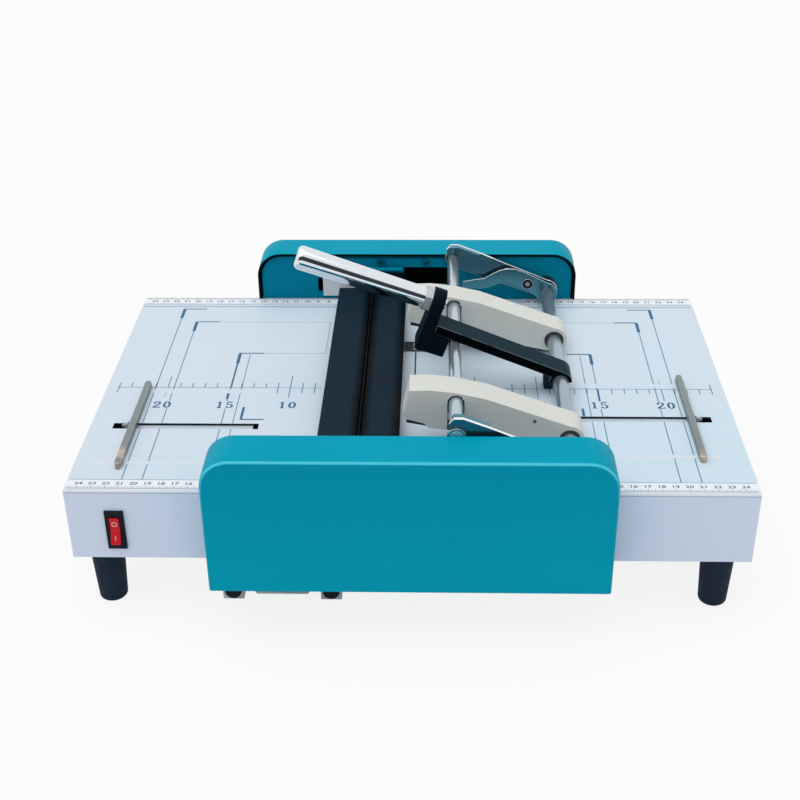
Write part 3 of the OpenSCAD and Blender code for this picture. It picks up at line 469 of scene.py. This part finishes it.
# the arm carries painted shade on its sides
DARK_ARM = arm_paint("dark_arm", lin(12, 42, 54), side=lin(2, 8, 12), worn=lin(124, 136, 144))
DARK_BRACKET = powder_paint("dark_bracket", lin(7, 22, 31), 0.4, gloss=0.03, worn=lin(80, 94, 102))
GREY_SHEET = powder_paint("grey_sheet", lin(214, 220, 226), 0.45, gloss=0.1)
# painted light: the delivery chute gets a lighter copy of the grey sheet, to make up for the shade it lies in
PAINTED_LIGHT_SHEET = powder_paint("painted_light_sheet", lin(242, 246, 250), 0.45, gloss=0.1)
# painted shade: the dark blade is made near-black so that the gap between the bridge plates reads dark
KNIFE_BLACK = powder_paint("knife_black", lin(6, 12, 18), 0.5, gloss=0.03)

PRESS_STEEL = ground("press_steel", lin(186, 202, 212), 0.2)
PIVOT_STEEL = ground("pivot_steel", lin(160, 178, 190), 0.24)
CHROME = chrome("chrome", lin(225, 230, 235))
# painted reflection: the teal in the lever and link steel stands in for the mirrored teal covers; their cut
# edges carry a painted highlight
LEVER_STEEL = stamped("lever_steel", lin(82, 132, 148), rim_highlight=lin(248, 251, 253), start=148.9)
LINK_STEEL = stamped("link_steel", lin(90, 148, 160), rim_highlight=lin(248, 251, 253), start=0.0)
STOP_GREY = stop_bar("stop_grey", lin(142, 152, 154), edge=lin(196, 200, 202), worn=lin(208, 186, 168))
PLATE_STEEL = steel("plate_steel", lin(188, 196, 200), 0.26, ALONG_X)
SPRING_STEEL = steel("spring_steel", lin(150, 154, 160), 0.35, AROUND_Y)
ANVIL_STEEL = steel("anvil_steel", lin(46, 50, 54), 0.4, ALONG_X, edge=lin(200, 205, 205))
MAGAZINE_STEEL = steel("magazine_steel", lin(58, 64, 70), 0.35, ALONG_X, edge=lin(120, 126, 130))
SLIDER_ZINC = steel("slider_zinc", lin(204, 217, 228), 0.5, ALONG_X, streak=0.05, metal=0.1)
SCREW_STEEL = steel("screw_steel", lin(176, 182, 188), 0.3, ALONG_X)
BUSH_STEEL = steel("bush_steel", lin(120, 124, 126), 0.4, AROUND_Y)

RULER_WHITE = moulded("ruler_white", lin(238, 245, 252), 0.5, spread=0.02)
TEAL_SCREW = moulded("teal_screw", lin(0, 98, 122), 0.45, spread=0.1, gloss=0.1)
IVORY = moulded("ivory", lin(223, 225, 220), 0.5, spread=0.03, worn=lin(236, 236, 230), gloss=0.15)
BLACK_PLASTIC = moulded("black_plastic", lin(18, 28, 38), 0.4, spread=0.1, worn=lin(56, 66, 74), gloss=0.1)
DARK_BUSH = moulded("dark_bush", lin(52, 58, 64), 0.5, spread=0.1)
RED_PLASTIC = moulded("red_plastic", lin(208, 14, 32), 0.3, spread=0.05, gloss=0.2)
GEAR_PLASTIC = moulded("gear_plastic", lin(222, 214, 196), 0.5)
RUBBER = rubber("black_rubber", lin(34, 48, 64))

PRINT_BLUE = ink("print_blue", lin(84, 140, 174), spread=0.2)
PRINT_MARK = ink("print_mark", lin(10, 98, 140), spread=0.15)
PRINT_GREY = ink("print_grey", lin(92, 106, 128), spread=0.15)
PRINT_PALE = ink("print_pale", lin(168, 182, 200), spread=0.05)
PRINT_DARK = ink("print_dark", lin(36, 56, 78), spread=0.15)
PRINT_WHITE = ink("print_white", lin(224, 232, 240), spread=0.03, scale=200.0, rough=0.4)
ROCKER_INK = ink("rocker_ink", lin(236, 178, 172), spread=0.03, scale=300.0)

LOOKS = {
    "table": TABLE_WHITE, "base_plate": GREY_SHEET, "ruler_strips": RULER_WHITE, "feet": RUBBER,
    "pan_screws": TEAL_SCREW, "front_frame": TEAL_FRAME, "rear_frame": TEAL_FRAME,
    "front_cover": TEAL, "rear_cover": TEAL, "window_bracket": TEAL_FRAME,
    "bridge_brackets": GREY_SHEET, "bridge_left": DARK_PLATE, "bridge_right": DARK_PLATE,
    "anvils": ANVIL_STEEL, "arm_buffer": RUBBER, "frame_bushes": BUSH_STEEL,
    "switch_frame": BLACK_PLASTIC, "switch_rocker": RED_PLASTIC, "power_inlet": BLACK_PLASTIC,
    "motor": PLATE_STEEL, "solenoids": PLATE_STEEL, "delivery_chute": PAINTED_LIGHT_SHEET,
    "chute_rails": GREY_SHEET, "rail_plugs": BLACK_PLASTIC,
    "pivot_shaft": PIVOT_STEEL, "press_shaft": PRESS_STEEL, "press_arm": DARK_ARM,
    "handle_bracket": DARK_BRACKET, "handle": CHROME, "front_lever": LEVER_STEEL, "rear_lever": LEVER_STEEL,
    "front_link": LINK_STEEL, "rear_link": LINK_STEEL, "press_fasteners": SCREW_STEEL,
    "driver_arms": SPRING_STEEL, "return_cranks": PLATE_STEEL, "return_springs": SPRING_STEEL,
    "front_head_cover": IVORY, "front_magazine": MAGAZINE_STEEL, "front_staples": SCREW_STEEL,
    "front_bushes": DARK_BUSH, "front_pusher": BLACK_PLASTIC,
    "rear_head_cover": IVORY, "rear_magazine": MAGAZINE_STEEL, "rear_staples": SCREW_STEEL,
    "rear_bushes": DARK_BUSH, "rear_pusher": BLACK_PLASTIC,
    "left_stop": STOP_GREY, "left_slider": SLIDER_ZINC, "right_stop": STOP_GREY, "right_slider": SLIDER_ZINC,
    "knife_blade": KNIFE_BLACK, "knife_links": PLATE_STEEL, "knife_springs": SPRING_STEEL,
    "left_roller": RUBBER, "right_roller": RUBBER, "left_gear": GEAR_PLASTIC,
    "right_gear": GEAR_PLASTIC, "idler_gear": GEAR_PLASTIC, "motor_pinion": SCREW_STEEL,
}
for name, mat in LOOKS.items():
    mesh = nodes[name].data
    mesh.materials.clear()
    mesh.materials.append(mat)


# Rounded edges

EDGES = {
    "table": 0.6, "ruler_strips": 0.15, "front_cover": 0.6, "rear_cover": 0.6,
    "window_bracket": 0.3, "bridge_brackets": 0.5, "bridge_left": 0.5, "bridge_right": 0.5,
    "arm_buffer": 0.8, "switch_frame": 0.3, "switch_rocker": 0.5, "power_inlet": 0.5,
    "press_arm": 0.7, "handle_bracket": 0.9, "front_lever": 0.8, "rear_lever": 0.8,
    "front_link": 0.8, "rear_link": 0.8, "left_stop": 0.6, "right_stop": 0.4,
    "press_shaft": 0.6, "pivot_shaft": 0.6, "press_fasteners": 0.3, "pan_screws": 0.25,
    "front_bushes": 0.4, "rear_bushes": 0.4, "delivery_chute": 0.3, "base_plate": 0.4, "chute_rails": 0.6,
}
# short edges are closed up first, and longer ones where they would hold the rounding back
SHORT_EDGE = 0.02
SHORT_EDGES = {
    "table": 1.0, "press_arm": 0.6, "window_bracket": 0.32, "bridge_right": 0.32,
    "switch_frame": 0.32, "switch_rocker": 0.32, "right_stop": 0.32,
}
ONE_FACE = math.radians(1.0)       # faces that differ by less are joined
SHARP_EDGE = math.radians(40.0)    # edges that turn by more are rounded


def round_edges(obj, width, short_edge):
    """Rounds the sharp edges of a piece by modifiers, lengths in mm."""
    weld = obj.modifiers.new("weld", "WELD")
    weld.merge_threshold = short_edge * MM
    flat = obj.modifiers.new("flat", "DECIMATE")
    flat.decimate_type = "DISSOLVE"
    flat.angle_limit = ONE_FACE
    bevel = obj.modifiers.new("edges", "BEVEL")
    bevel.width = width * MM
    bevel.segments = 3
    bevel.limit_method = "ANGLE"
    bevel.angle_limit = SHARP_EDGE
    bevel.harden_normals = True


for name, width in EDGES.items():
    round_edges(nodes[name], width, SHORT_EDGES.get(name, SHORT_EDGE))


# Stapling heads with soft upper edges

HEAD_HALF_W = 12.0      # half the width of a head, along Y
HEAD_ROUNDING = 1.9
FRONT_HEAD_Y = -94.5    # middle of the head, along Y
REAR_HEAD_Y = 63.5


def is_outer_edge(edge, y_mid):
    """True between a flat side of the head and a face that looks up or to the left."""
    if len(edge.link_faces) != 2:
        return False
    on_side = all(abs(abs(v.co.y - y_mid) - HEAD_HALF_W * MM) < 0.1 * MM for v in edge.verts)
    has_side = any(abs(f.normal.y) > 0.9 for f in edge.link_faces)
    rims = [f.normal for f in edge.link_faces if abs(f.normal.y) < 0.5]
    return on_side and has_side and any(n.z > 0.5 or n.x < -0.7 for n in rims)


def soft_head(name, body, y_mid):
    """The head's shell with its long outer edges rounded."""
    bm = bmesh.new()
    bm.from_mesh(nodes[name].data)
    bmesh.ops.remove_doubles(bm, verts=bm.verts, dist=SHORT_EDGE * MM)
    bmesh.ops.dissolve_limit(bm, angle_limit=ONE_FACE, verts=bm.verts, edges=bm.edges)
    soft = [e for e in bm.edges if is_outer_edge(e, y_mid)]
    bmesh.ops.bevel(bm, geom=soft, offset=HEAD_ROUNDING * MM, offset_type="OFFSET", segments=4, profile=0.5,
                    affect="EDGES", clamp_overlap=True)
    mesh = bpy.data.meshes.new(name + "_soft")
    bm.to_mesh(mesh)
    bm.free()
    mesh.shade_smooth()
    mesh.set_sharp_from_angle(angle=math.radians(32.0))
    mesh.materials.append(IVORY)
    obj = new_object(name + "_soft", mesh)
    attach(obj, body)
    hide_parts(name)


soft_head("front_head_cover", "front_head", FRONT_HEAD_Y * MM)
soft_head("rear_head_cover", "rear_head", REAR_HEAD_Y * MM)


# Springs, which stretch or shorten between two bodies in the machine; copies stand in for them

def spring(name):
    """A copy of a spring node that stands for it."""
    obj = new_object(name + "_live", nodes[name].data.copy())
    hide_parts(name)
    return obj


# hooked on a pin of the frame below and on the crank above
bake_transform(spring("return_springs"))
# pressed together by the knife's collar, on top of the solenoids
knife_springs = spring("knife_springs")
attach(knife_springs, "base")
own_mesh(knife_springs)


# Printing

DIGIT_PITCH = 8.1     # from one large digit to the next
FONT_SIZE = 1.38      # size of the font for digits of height 1


def add_mesh(name, verts, faces, mat, body):
    """A new piece that rides on a body."""
    mesh = bpy.data.meshes.new(name)
    mesh.from_pydata(verts, [], faces)
    mesh.materials.append(mat)
    mesh.update()
    obj = new_object(name, mesh)
    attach(obj, body)
    return obj


def arc(cx, cy, rx, ry, start, end, steps=14):
    """Points on an ellipse from one angle to another, in degrees."""
    angles = [math.radians(start + (end - start) * i / steps) for i in range(steps + 1)]
    return [(cx + rx * math.cos(a), cy + ry * math.sin(a)) for a in angles]


def dot(x, y):
    """The round end of a pen line."""
    return arc(x, y, 0.45, 0.45, 0, 360, steps=10), 0.9, 0.9


# pen lines of the large digits, in mm from the middle of each: points, width upright, width level
DIGITS = {
    "0": [(arc(0, 0, 2.15, 4.3, 0, 360, steps=28), 1.9, 0.9)],
    "1": [([(0.3, -4.6), (0.3, 4.8)], 1.7, 0.9),
          ([(0.3, 4.4), (-1.7, 3.4)], 0.9, 0.9),
          ([(-1.7, -4.4), (2.3, -4.4)], 0.9, 0.9)],
    "2": [(arc(0, 2.3, 2.1, 2.2, 170, -20) + [(1.2, 0.2), (-0.6, -1.9), (-2.3, -3.9)], 1.8, 0.9),
          ([(-2.7, -4.1), (2.5, -4.1)], 1.2, 1.4),
          ([(2.6, -4.6), (2.9, -2.8)], 0.8, 0.8),
          dot(-1.9, 2.1)],
    "5": [([(-1.8, 4.2), (2.3, 4.2)], 1.2, 1.4),
          ([(-1.8, 4.6), (-2.1, 0.4)], 0.9, 0.9),
          (arc(-0.1, -1.7, 2.3, 2.6, 140, -150), 1.8, 0.9),
          dot(-1.9, -3.2)],
}


class Print:
    """Flat printed strokes of one ink on one level, in mm."""

    def __init__(self, name, level, mat):
        self.name, self.level, self.mat = name, level, mat
        self.verts, self.faces = [], []

    def bar(self, x0, y0, x1, y1):
        """A rectangle between two corners."""
        n = len(self.verts)
        corners = ((x0, y0), (x1, y0), (x1, y1), (x0, y1))
        self.verts += [Vector((x, y, self.level)) * MM for x, y in corners]
        self.faces.append((n, n + 1, n + 2, n + 3))

    def along_x(self, x0, x1, y, width):
        """A straight line along X."""
        self.bar(min(x0, x1), y - width / 2, max(x0, x1), y + width / 2)

    def along_y(self, x, y0, y1, width):
        """A straight line along Y."""
        self.bar(x - width / 2, min(y0, y1), x + width / 2, max(y0, y1))

    def number(self, value, x, y, height, wide, bold):
        """A number in the plain font, made wider and bolder."""
        curve = bpy.data.curves.new("digits", "FONT")
        curve.body = str(value)
        curve.size = height * MM * FONT_SIZE
        curve.align_x = "CENTER"
        curve.align_y = "CENTER"
        curve.offset = bold * MM
        curve.resolution_u = 4
        temp = new_object("digits", curve)
        bpy.context.view_layer.update()
        mesh = bpy.data.meshes.new_from_object(temp)
        n = len(self.verts)
        for v in mesh.vertices:
            self.verts.append(Vector((x * MM + v.co.x * wide, y * MM + v.co.y, self.level * MM)))
        self.faces += [tuple(n + i for i in p.vertices) for p in mesh.polygons]
        bpy.data.objects.remove(temp)
        bpy.data.curves.remove(curve)
        bpy.data.meshes.remove(mesh)

    def stroke(self, points, x, y, across, along):
        """A pen line: across is its width where it runs along Y, along where it runs along X."""
        left, right = [], []
        for i, (px, py) in enumerate(points):
            ax, ay = points[max(i - 1, 0)]
            bx, by = points[min(i + 1, len(points) - 1)]
            side = Vector((ay - by, bx - ax)).normalized()
            half = math.hypot(side.x * across, side.y * along) / 2
            left.append((x + px + side.x * half, y + py + side.y * half))
            right.append((x + px - side.x * half, y + py - side.y * half))
        n = len(self.verts)
        self.verts += [Vector((a, b, self.level)) * MM for a, b in left + right]
        c = len(points)
        self.faces += [(n + i, n + c + i, n + c + i + 1, n + i + 1) for i in range(c - 1)]

    def big_number(self, value, x, y):
        """A number of the large scale in footed digits."""
        text = str(value)
        for i, digit in enumerate(text):
            place = x + (i - (len(text) - 1) / 2) * DIGIT_PITCH
            for points, across, along in DIGITS[digit]:
                self.stroke(points, place, y, across, along)

    def make(self, slot="white_paint"):
        """Makes one piece of all the strokes."""
        return add_mesh(self.name, self.verts, self.faces, self.mat, "base")


# Sheet marks and scale on the table, in mm along X and from the front edge of a sheet

PRINT_LEVEL = TABLE_TOP + 0.05    # the other inks lie a trifle above or below the lines
lines = Print("print_lines", PRINT_LEVEL, PRINT_BLUE)
marks = Print("print_marks", PRINT_LEVEL + 0.02, PRINT_MARK)
pale = Print("print_pale", PRINT_LEVEL - 0.01, PRINT_PALE)
white = Print("print_white", PRINT_LEVEL - 0.02, PRINT_WHITE)
dark = Print("print_dark", PRINT_LEVEL, PRINT_DARK)

LINE_W = 0.8
FINE_W = 0.7
SCALE_ROW = 151.0        # the base line of the scale
SCALE_SPANS = [(-241.0, -74.0), (6.0, 241.0)]
BRIDGE_SPAN = (-76.0, 6.0)   # the bridge hides the scale here
CM = 10.0

# half width and rear edge of the sheets
FORMATS = [(210.0, 294.5), (195.0, 269.0), (148.5, 210.0)]
FORMAT_FRONT = 14.5      # where their lines begin

# what interrupts the lines, for the left and the right half
STREAKS = {-1: (36.0, 41.0), 1: (48.2, 53.4)}
SLOTS = {-1: (86.8, 95.2), 1: (100.0, 108.4)}
SCALE_GAPS = {-1: (142.0, 147.5), 1: (153.5, 160.0)}
DIGIT_ROWS = {-1: 123.4, 1: 125.2}
DIGIT_ROOM = 5.8         # kept free on both sides of the middle of a row of digits
DIGIT_REACH = 200.0      # lines farther out pass beside the digits


def sheet(distance):
    """Distance from the front edge of a sheet to Y."""
    return distance + SHEET_FRONT


def broken_line(x, start, end, gaps, width):
    """A line away from the front edge of the sheet that leaves out the gaps."""
    for low, high in gaps:
        lines.along_y(x, sheet(start), sheet(low), width)
        start = high
    lines.along_y(x, sheet(start), sheet(end), width)


def sheet_formats():
    """The side lines of three sheets, with strong marks at their rear corners."""
    for half, back in FORMATS:
        for side in SIDES:
            x = side * half
            row = DIGIT_ROWS[side]
            gaps = [STREAKS[side], SLOTS[side]]
            if half < DIGIT_REACH:
                gaps.append((row - DIGIT_ROOM, row + DIGIT_ROOM))
            broken_line(x, FORMAT_FRONT, back, gaps + [SCALE_GAPS[side]], LINE_W)
            marks.along_y(x, sheet(back - 18.0), sheet(back), width=2.7)
            marks.along_x(x, x - side * 20.0, sheet(back), width=1.5)


# lines of a small sheet: half width, front and rear end
SMALL_SHEET = (139.7, 62.0, 207.5)
# its front corner marks: half width, front edge, end of the stroke inwards, end of the stroke to the rear
SMALL_CORNER = (134.0, 101.0, 116.0, 120.0)
# where the strokes to the rear and inwards begin; on the right the slot cuts them
CORNER_STARTS = {-1: (101.0, -134.0), 1: (108.4, 118.6)}
# pale lines on both halves: outer and inner end, distance, width
PALE_LINES = [(175.0, 76.0, 269.0, FINE_W), (128.0, 76.0, 210.0, FINE_W), (248.0, 72.5, 299.6, 1.8)]


def small_sheet():
    """The lines and the front corners of a small sheet, and pale lines behind it."""
    half, front, rear = SMALL_SHEET
    corner_half, corner_front, inner_end, rear_end = SMALL_CORNER
    for side in SIDES:
        broken_line(side * half, front, rear, [SLOTS[side], SCALE_GAPS[side]], FINE_W)
        rear_start, inner_start = CORNER_STARTS[side]
        marks.along_y(side * corner_half, sheet(rear_start), sheet(rear_end), width=2.0)
        marks.along_x(inner_start, side * inner_end, sheet(corner_front), width=1.5)
        for outer, inner, distance, width in PALE_LINES:
            pale.along_x(side * outer, side * inner, sheet(distance), width)
    # joins the inner ends of two pale lines on the left
    pale.along_y(-75.6, sheet(209.0), sheet(269.0), FINE_W)


def white_streaks():
    """A white streak across the lines on each half."""
    white.along_x(-238.0, -152.0, sheet(38.5), width=2.2)
    white.along_x(152.5, 230.0, sheet(50.8), width=2.6)


# strong strokes at 15 cm: place, from, to, width
STRONG_STROKES = {
    -1: [(-148.5, SCALE_ROW, 191.9, 1.4), (-149.5, 132.5, 141.5, 1.6)],
    1: [(148.7, SCALE_ROW, 132.0, 1.6)],
}
CROSSING_TICKS = (8, 9, 11, 24)


def tick(cm, side):
    """The tick of one centimetre; they differ in length and side as in the photograph."""
    x = side * cm * CM
    mid = sheet(SCALE_ROW)
    if cm == 15:
        for place, start, end, width in STRONG_STROKES[side]:
            marks.along_y(place, sheet(start), sheet(end), width)
    elif cm == 20:
        lines.along_y(x, mid, mid - side * 18.0, LINE_W)
        pale.along_y(x, mid + side * 8.0, mid + side * 16.0, LINE_W)
    elif cm % 5 == 0:
        lines.along_y(x, mid - 16.0, mid + 20.0, LINE_W)
    elif cm in CROSSING_TICKS:
        lines.along_y(x, mid - 8.5, mid + 8.0, LINE_W)
    else:
        lines.along_y(x, mid, mid - side * 7.5, LINE_W)


def centimetre_scale():
    """The scale across the middle of the table, with its large numbers."""
    for x0, x1 in SCALE_SPANS:
        lines.along_x(x0, x1, sheet(SCALE_ROW), FINE_W)
    # a dark line beside the bridge
    dark.along_y(1.0, sheet(150.0), sheet(215.0), width=1.3)
    low, high = BRIDGE_SPAN
    for cm in range(1, 25):
        for side in SIDES:
            if not low < side * cm * CM < high:
                tick(cm, side)
    for value, left, right in ((10, -100.0, 100.0), (15, -150.0, 147.5), (20, -200.0, 200.0)):
        marks.big_number(value, left, sheet(DIGIT_ROWS[-1]))
        marks.big_number(value, right, sheet(DIGIT_ROWS[1]))


sheet_formats()
white_streaks()
small_sheet()
centimetre_scale()


# Ruler strips along the front and rear edges

ruler = Print("ruler_print", TABLE_TOP + 0.65, PRINT_GREY)
RULER_SPANS = ((-248.0, -73.0), (99.0, 248.0))
RULER_EDGE = TABLE_HALF_D - 0.5     # outer edge of the strips, from the middle along Y
RULER_INNER = TABLE_HALF_D - 13.5   # inner edge
TICK_ROOT = 1.0                     # the ticks begin this far from the outer edge
NUMBER_ROW = 7.4                    # the numbers stand this far from it
LAST_NUMBER = 240
# one tick every so many mm: end from the outer edge, width; the first row that fits counts
RULER_TICKS = ((10, 4.6, 0.35), (5, 4.0, 0.28), (1, 3.4, 0.22))


def ruler_strip(end, x0, x1):
    """The millimetre scale of one strip; end is -1 at the front edge and 1 at the rear edge."""
    edge = end * RULER_EDGE
    root = edge - end * TICK_ROOT
    ruler.along_x(x0, x1, end * (RULER_INNER + 0.5), width=0.5)
    ruler.along_x(x0, x1, root, width=0.4)
    for mm in range(int(x0), int(x1) + 1):
        reach, width = next((reach, width) for step, reach, width in RULER_TICKS if mm % step == 0)
        ruler.along_y(mm, root, edge - end * reach, width)
        if mm % 10 == 0 and abs(mm) <= LAST_NUMBER:
            ruler.number(abs(mm) // 10, mm, edge - end * NUMBER_ROW, height=3.3, wide=1.35, bold=0.1)


for end in SIDES:
    for x0, x1 in RULER_SPANS:
        ruler_strip(end, x0, x1)

for sheet_print in (lines, marks, pale, white, dark):
    sheet_print.make()
ruler.make(slot="ruler_film")


# Rings around the rivets of the levers, and a small pin on the front head

def ring(name, centre, inner, outer, height, mat, body):
    """A closed ring with a rounded face and its axis along Y; height is negative where it faces the front."""
    steps = 36
    lip = 0.25
    profile = [(inner, 0.0), (inner + lip, 0.8), ((inner + outer) / 2, 1.0),
               (outer - lip, 0.8), (outer, 0.0)]
    c = len(profile)
    verts, faces = [], []
    for i in range(steps):
        a = 2 * math.pi * i / steps
        for r, up in profile:
            verts.append((Vector(centre) + Vector((r * math.cos(a), up * height, r * math.sin(a)))) * MM)
    for i in range(steps):
        j = (i + 1) % steps
        for k in range(c):
            after = (k + 1) % c
            faces.append((c * i + k, c * j + k, c * j + after, c * i + after))
    obj = add_mesh(name, verts, faces, mat, body)
    obj.data.shade_smooth()


ring("rear_rivet_ring", (100.0, 140.5, 132.9), 2.0, 4.4, height=-0.4, mat=BLACK_PLASTIC, body="press")
ring("front_rivet_ring", (100.0, -140.5, 132.9), 2.0, 4.4, height=0.4, mat=BLACK_PLASTIC, body="press")
ring("head_pin", (91.0, -106.5, 138.5), 0.3, 1.4, height=-0.2, mat=DARK_BUSH, body="front_head")


# Marks on the rocker switch

ROCKER_PIVOT = Vector((-215.0, -157.5, 75.8))
ROCKER_TILT = Matrix.Rotation(math.radians(-7.0), 4, "X")   # at rest
FACE_REACH = 11.1     # from the middle of the rocker to the end of a face
FACE_DEPTH = 2.6      # of the faces in front of the pivot, in the middle
FACE_RISE = 2.0       # added to it at their ends
MARK_LIFT = 0.08      # of the print above the faces


def on_rocker(x, along):
    """A point on the rocker; along is 0 in the middle, 1 at the upper end and -1 at the lower end."""
    y = -FACE_DEPTH - FACE_RISE * abs(along) - MARK_LIFT
    return (ROCKER_PIVOT + ROCKER_TILT @ Vector((x, y, along * FACE_REACH))) * MM


def rocker_marks():
    """A ring on the upper face and a bar on the lower one, which turn with the rocker."""
    steps, ring_middle, radii = 28, 0.52, (2.1, 1.4)
    half_width, bar_start, bar_end = 0.35, -0.36, -0.68
    verts, faces = [], []
    for i in range(steps):
        a = 2 * math.pi * i / steps
        for r in radii:
            verts.append(on_rocker(r * math.cos(a), ring_middle + r * math.sin(a) / FACE_REACH))
        j = (i + 1) % steps
        faces.append((2 * i, 2 * j, 2 * j + 1, 2 * i + 1))
    n = len(verts)
    verts += [on_rocker(x, bar_start) for x in (-half_width, half_width)]
    verts += [on_rocker(x, bar_end) for x in (half_width, -half_width)]
    faces.append((n, n + 1, n + 2, n + 3))
    add_mesh("rocker_marks", verts, faces, ROCKER_INK, "switch")


rocker_marks()


# Stage, light and camera

def stage_floor():
    """A wide floor that is seen nearly white and still shows a soft shadow."""
    half = 40.0           # metres
    glow_share = 0.85     # of the white glow in what is seen of the floor
    mesh = bpy.data.meshes.new("floor")
    corners = [(-half, -half, 0), (half, -half, 0), (half, half, 0), (-half, half, 0)]
    mesh.from_pydata(corners, [], [(0, 1, 2, 3)])
    mat = bpy.data.materials.new("floor_white")
    mat.use_nodes = True
    n = Nodes(mat.node_tree)
    bsdf = n.tree.nodes["Principled BSDF"]
    bsdf.inputs["Base Color"].default_value = (0.86, 0.86, 0.86, 1)
    bsdf.inputs["Roughness"].default_value = 0.9
    bsdf.inputs["Specular IOR Level"].default_value = 0.0
    glow = n.node("ShaderNodeEmission")
    glow.inputs["Color"].default_value = WHITE
    glow.inputs["Strength"].default_value = 1.0
    share = n.times(n.seen_directly(), glow_share)
    surface = n.either(share, bsdf.outputs["BSDF"], glow.outputs["Emission"])
    n.link(surface, n.tree.nodes["Material Output"].inputs["Surface"])
    mesh.materials.append(mat)
    obj = new_object("floor", mesh)


def light():
    """One wide soft lamp above, a little in front and to the left."""
    data = bpy.data.lights.new("top_soft", "SUN")
    data.energy = 1.45
    data.angle = math.radians(70.0)
    obj = new_object("top_soft", data)
    obj.location = (0, 0, 2)
    shines_towards = Vector((0.2, 0.15, -1.0))
    obj.rotation_euler = shines_towards.to_track_quat("-Z", "Y").to_euler()


def world():
    """Even pale surroundings; what is seen or mirrored of them is white with a dim zone low in front."""
    studio = bpy.data.worlds.new("studio")
    bpy.context.scene.world = studio
    studio.use_nodes = True
    n = Nodes(studio.node_tree)
    n.tree.nodes.clear()
    direction = n.node("ShaderNodeTexCoord").outputs["Generated"]
    height = n.part(direction, "Z")
    in_front = n.ramp(n.part(direction, "Y"), -0.45, -0.75, curve="SMOOTHSTEP")
    above_floor = n.ramp(height, 0.02, 0.07, curve="SMOOTHSTEP")
    low = n.ramp(height, 0.7, 0.56, curve="SMOOTHSTEP")
    tone = n.node("ShaderNodeMix", data_type="RGBA")
    tone.inputs["A"].default_value = WHITE
    tone.inputs["B"].default_value = (0.04, 0.05, 0.06, 1)
    n.link(n.times(in_front, n.times(above_floor, low)), tone.inputs["Factor"])
    shown = n.node("ShaderNodeBackground")
    n.link(tone.outputs["Result"], shown.inputs["Color"])
    lighting = n.node("ShaderNodeBackground")
    lighting.inputs["Color"].default_value = WHITE
    lighting.inputs["Strength"].default_value = 0.52
    surface = n.either(n.seen_directly(), lighting.outputs["Background"], shown.outputs["Background"])
    out = n.node("ShaderNodeOutputWorld")
    n.link(surface, out.inputs["Surface"])


def camera():
    """The photograph's view: place, pitch, yaw and roll found from the printed scale."""
    pitch, yaw, roll = 0.5288, -0.0320, 0.0118     # radians
    place = Vector((18.8, SHEET_FRONT - 777.6, TABLE_TOP + 531.9))
    level = Vector((1, 0, 0))
    raised = Vector((0, math.sin(pitch), math.cos(pitch)))
    ahead = Vector((0, math.cos(pitch), -math.sin(pitch)))
    right = math.cos(roll) * level - math.sin(roll) * raised
    up = math.sin(roll) * level + math.cos(roll) * raised
    turn = Matrix.Rotation(yaw, 3, "Z").transposed()
    axes = Matrix([turn @ v for v in (right, up, -ahead)]).transposed()
    data = bpy.data.cameras.new("camera")
    data.sensor_width = 36.0
    data.lens = 59.37
    data.clip_start = 0.05
    data.clip_end = 60.0
    obj = new_object("camera", data)
    obj.matrix_world = Matrix.Translation(place * MM) @ axes.to_4x4()
    bpy.context.scene.camera = obj


stage_floor()
world()
light()
camera()

view = bpy.context.scene.view_settings
view.view_transform = "Standard"
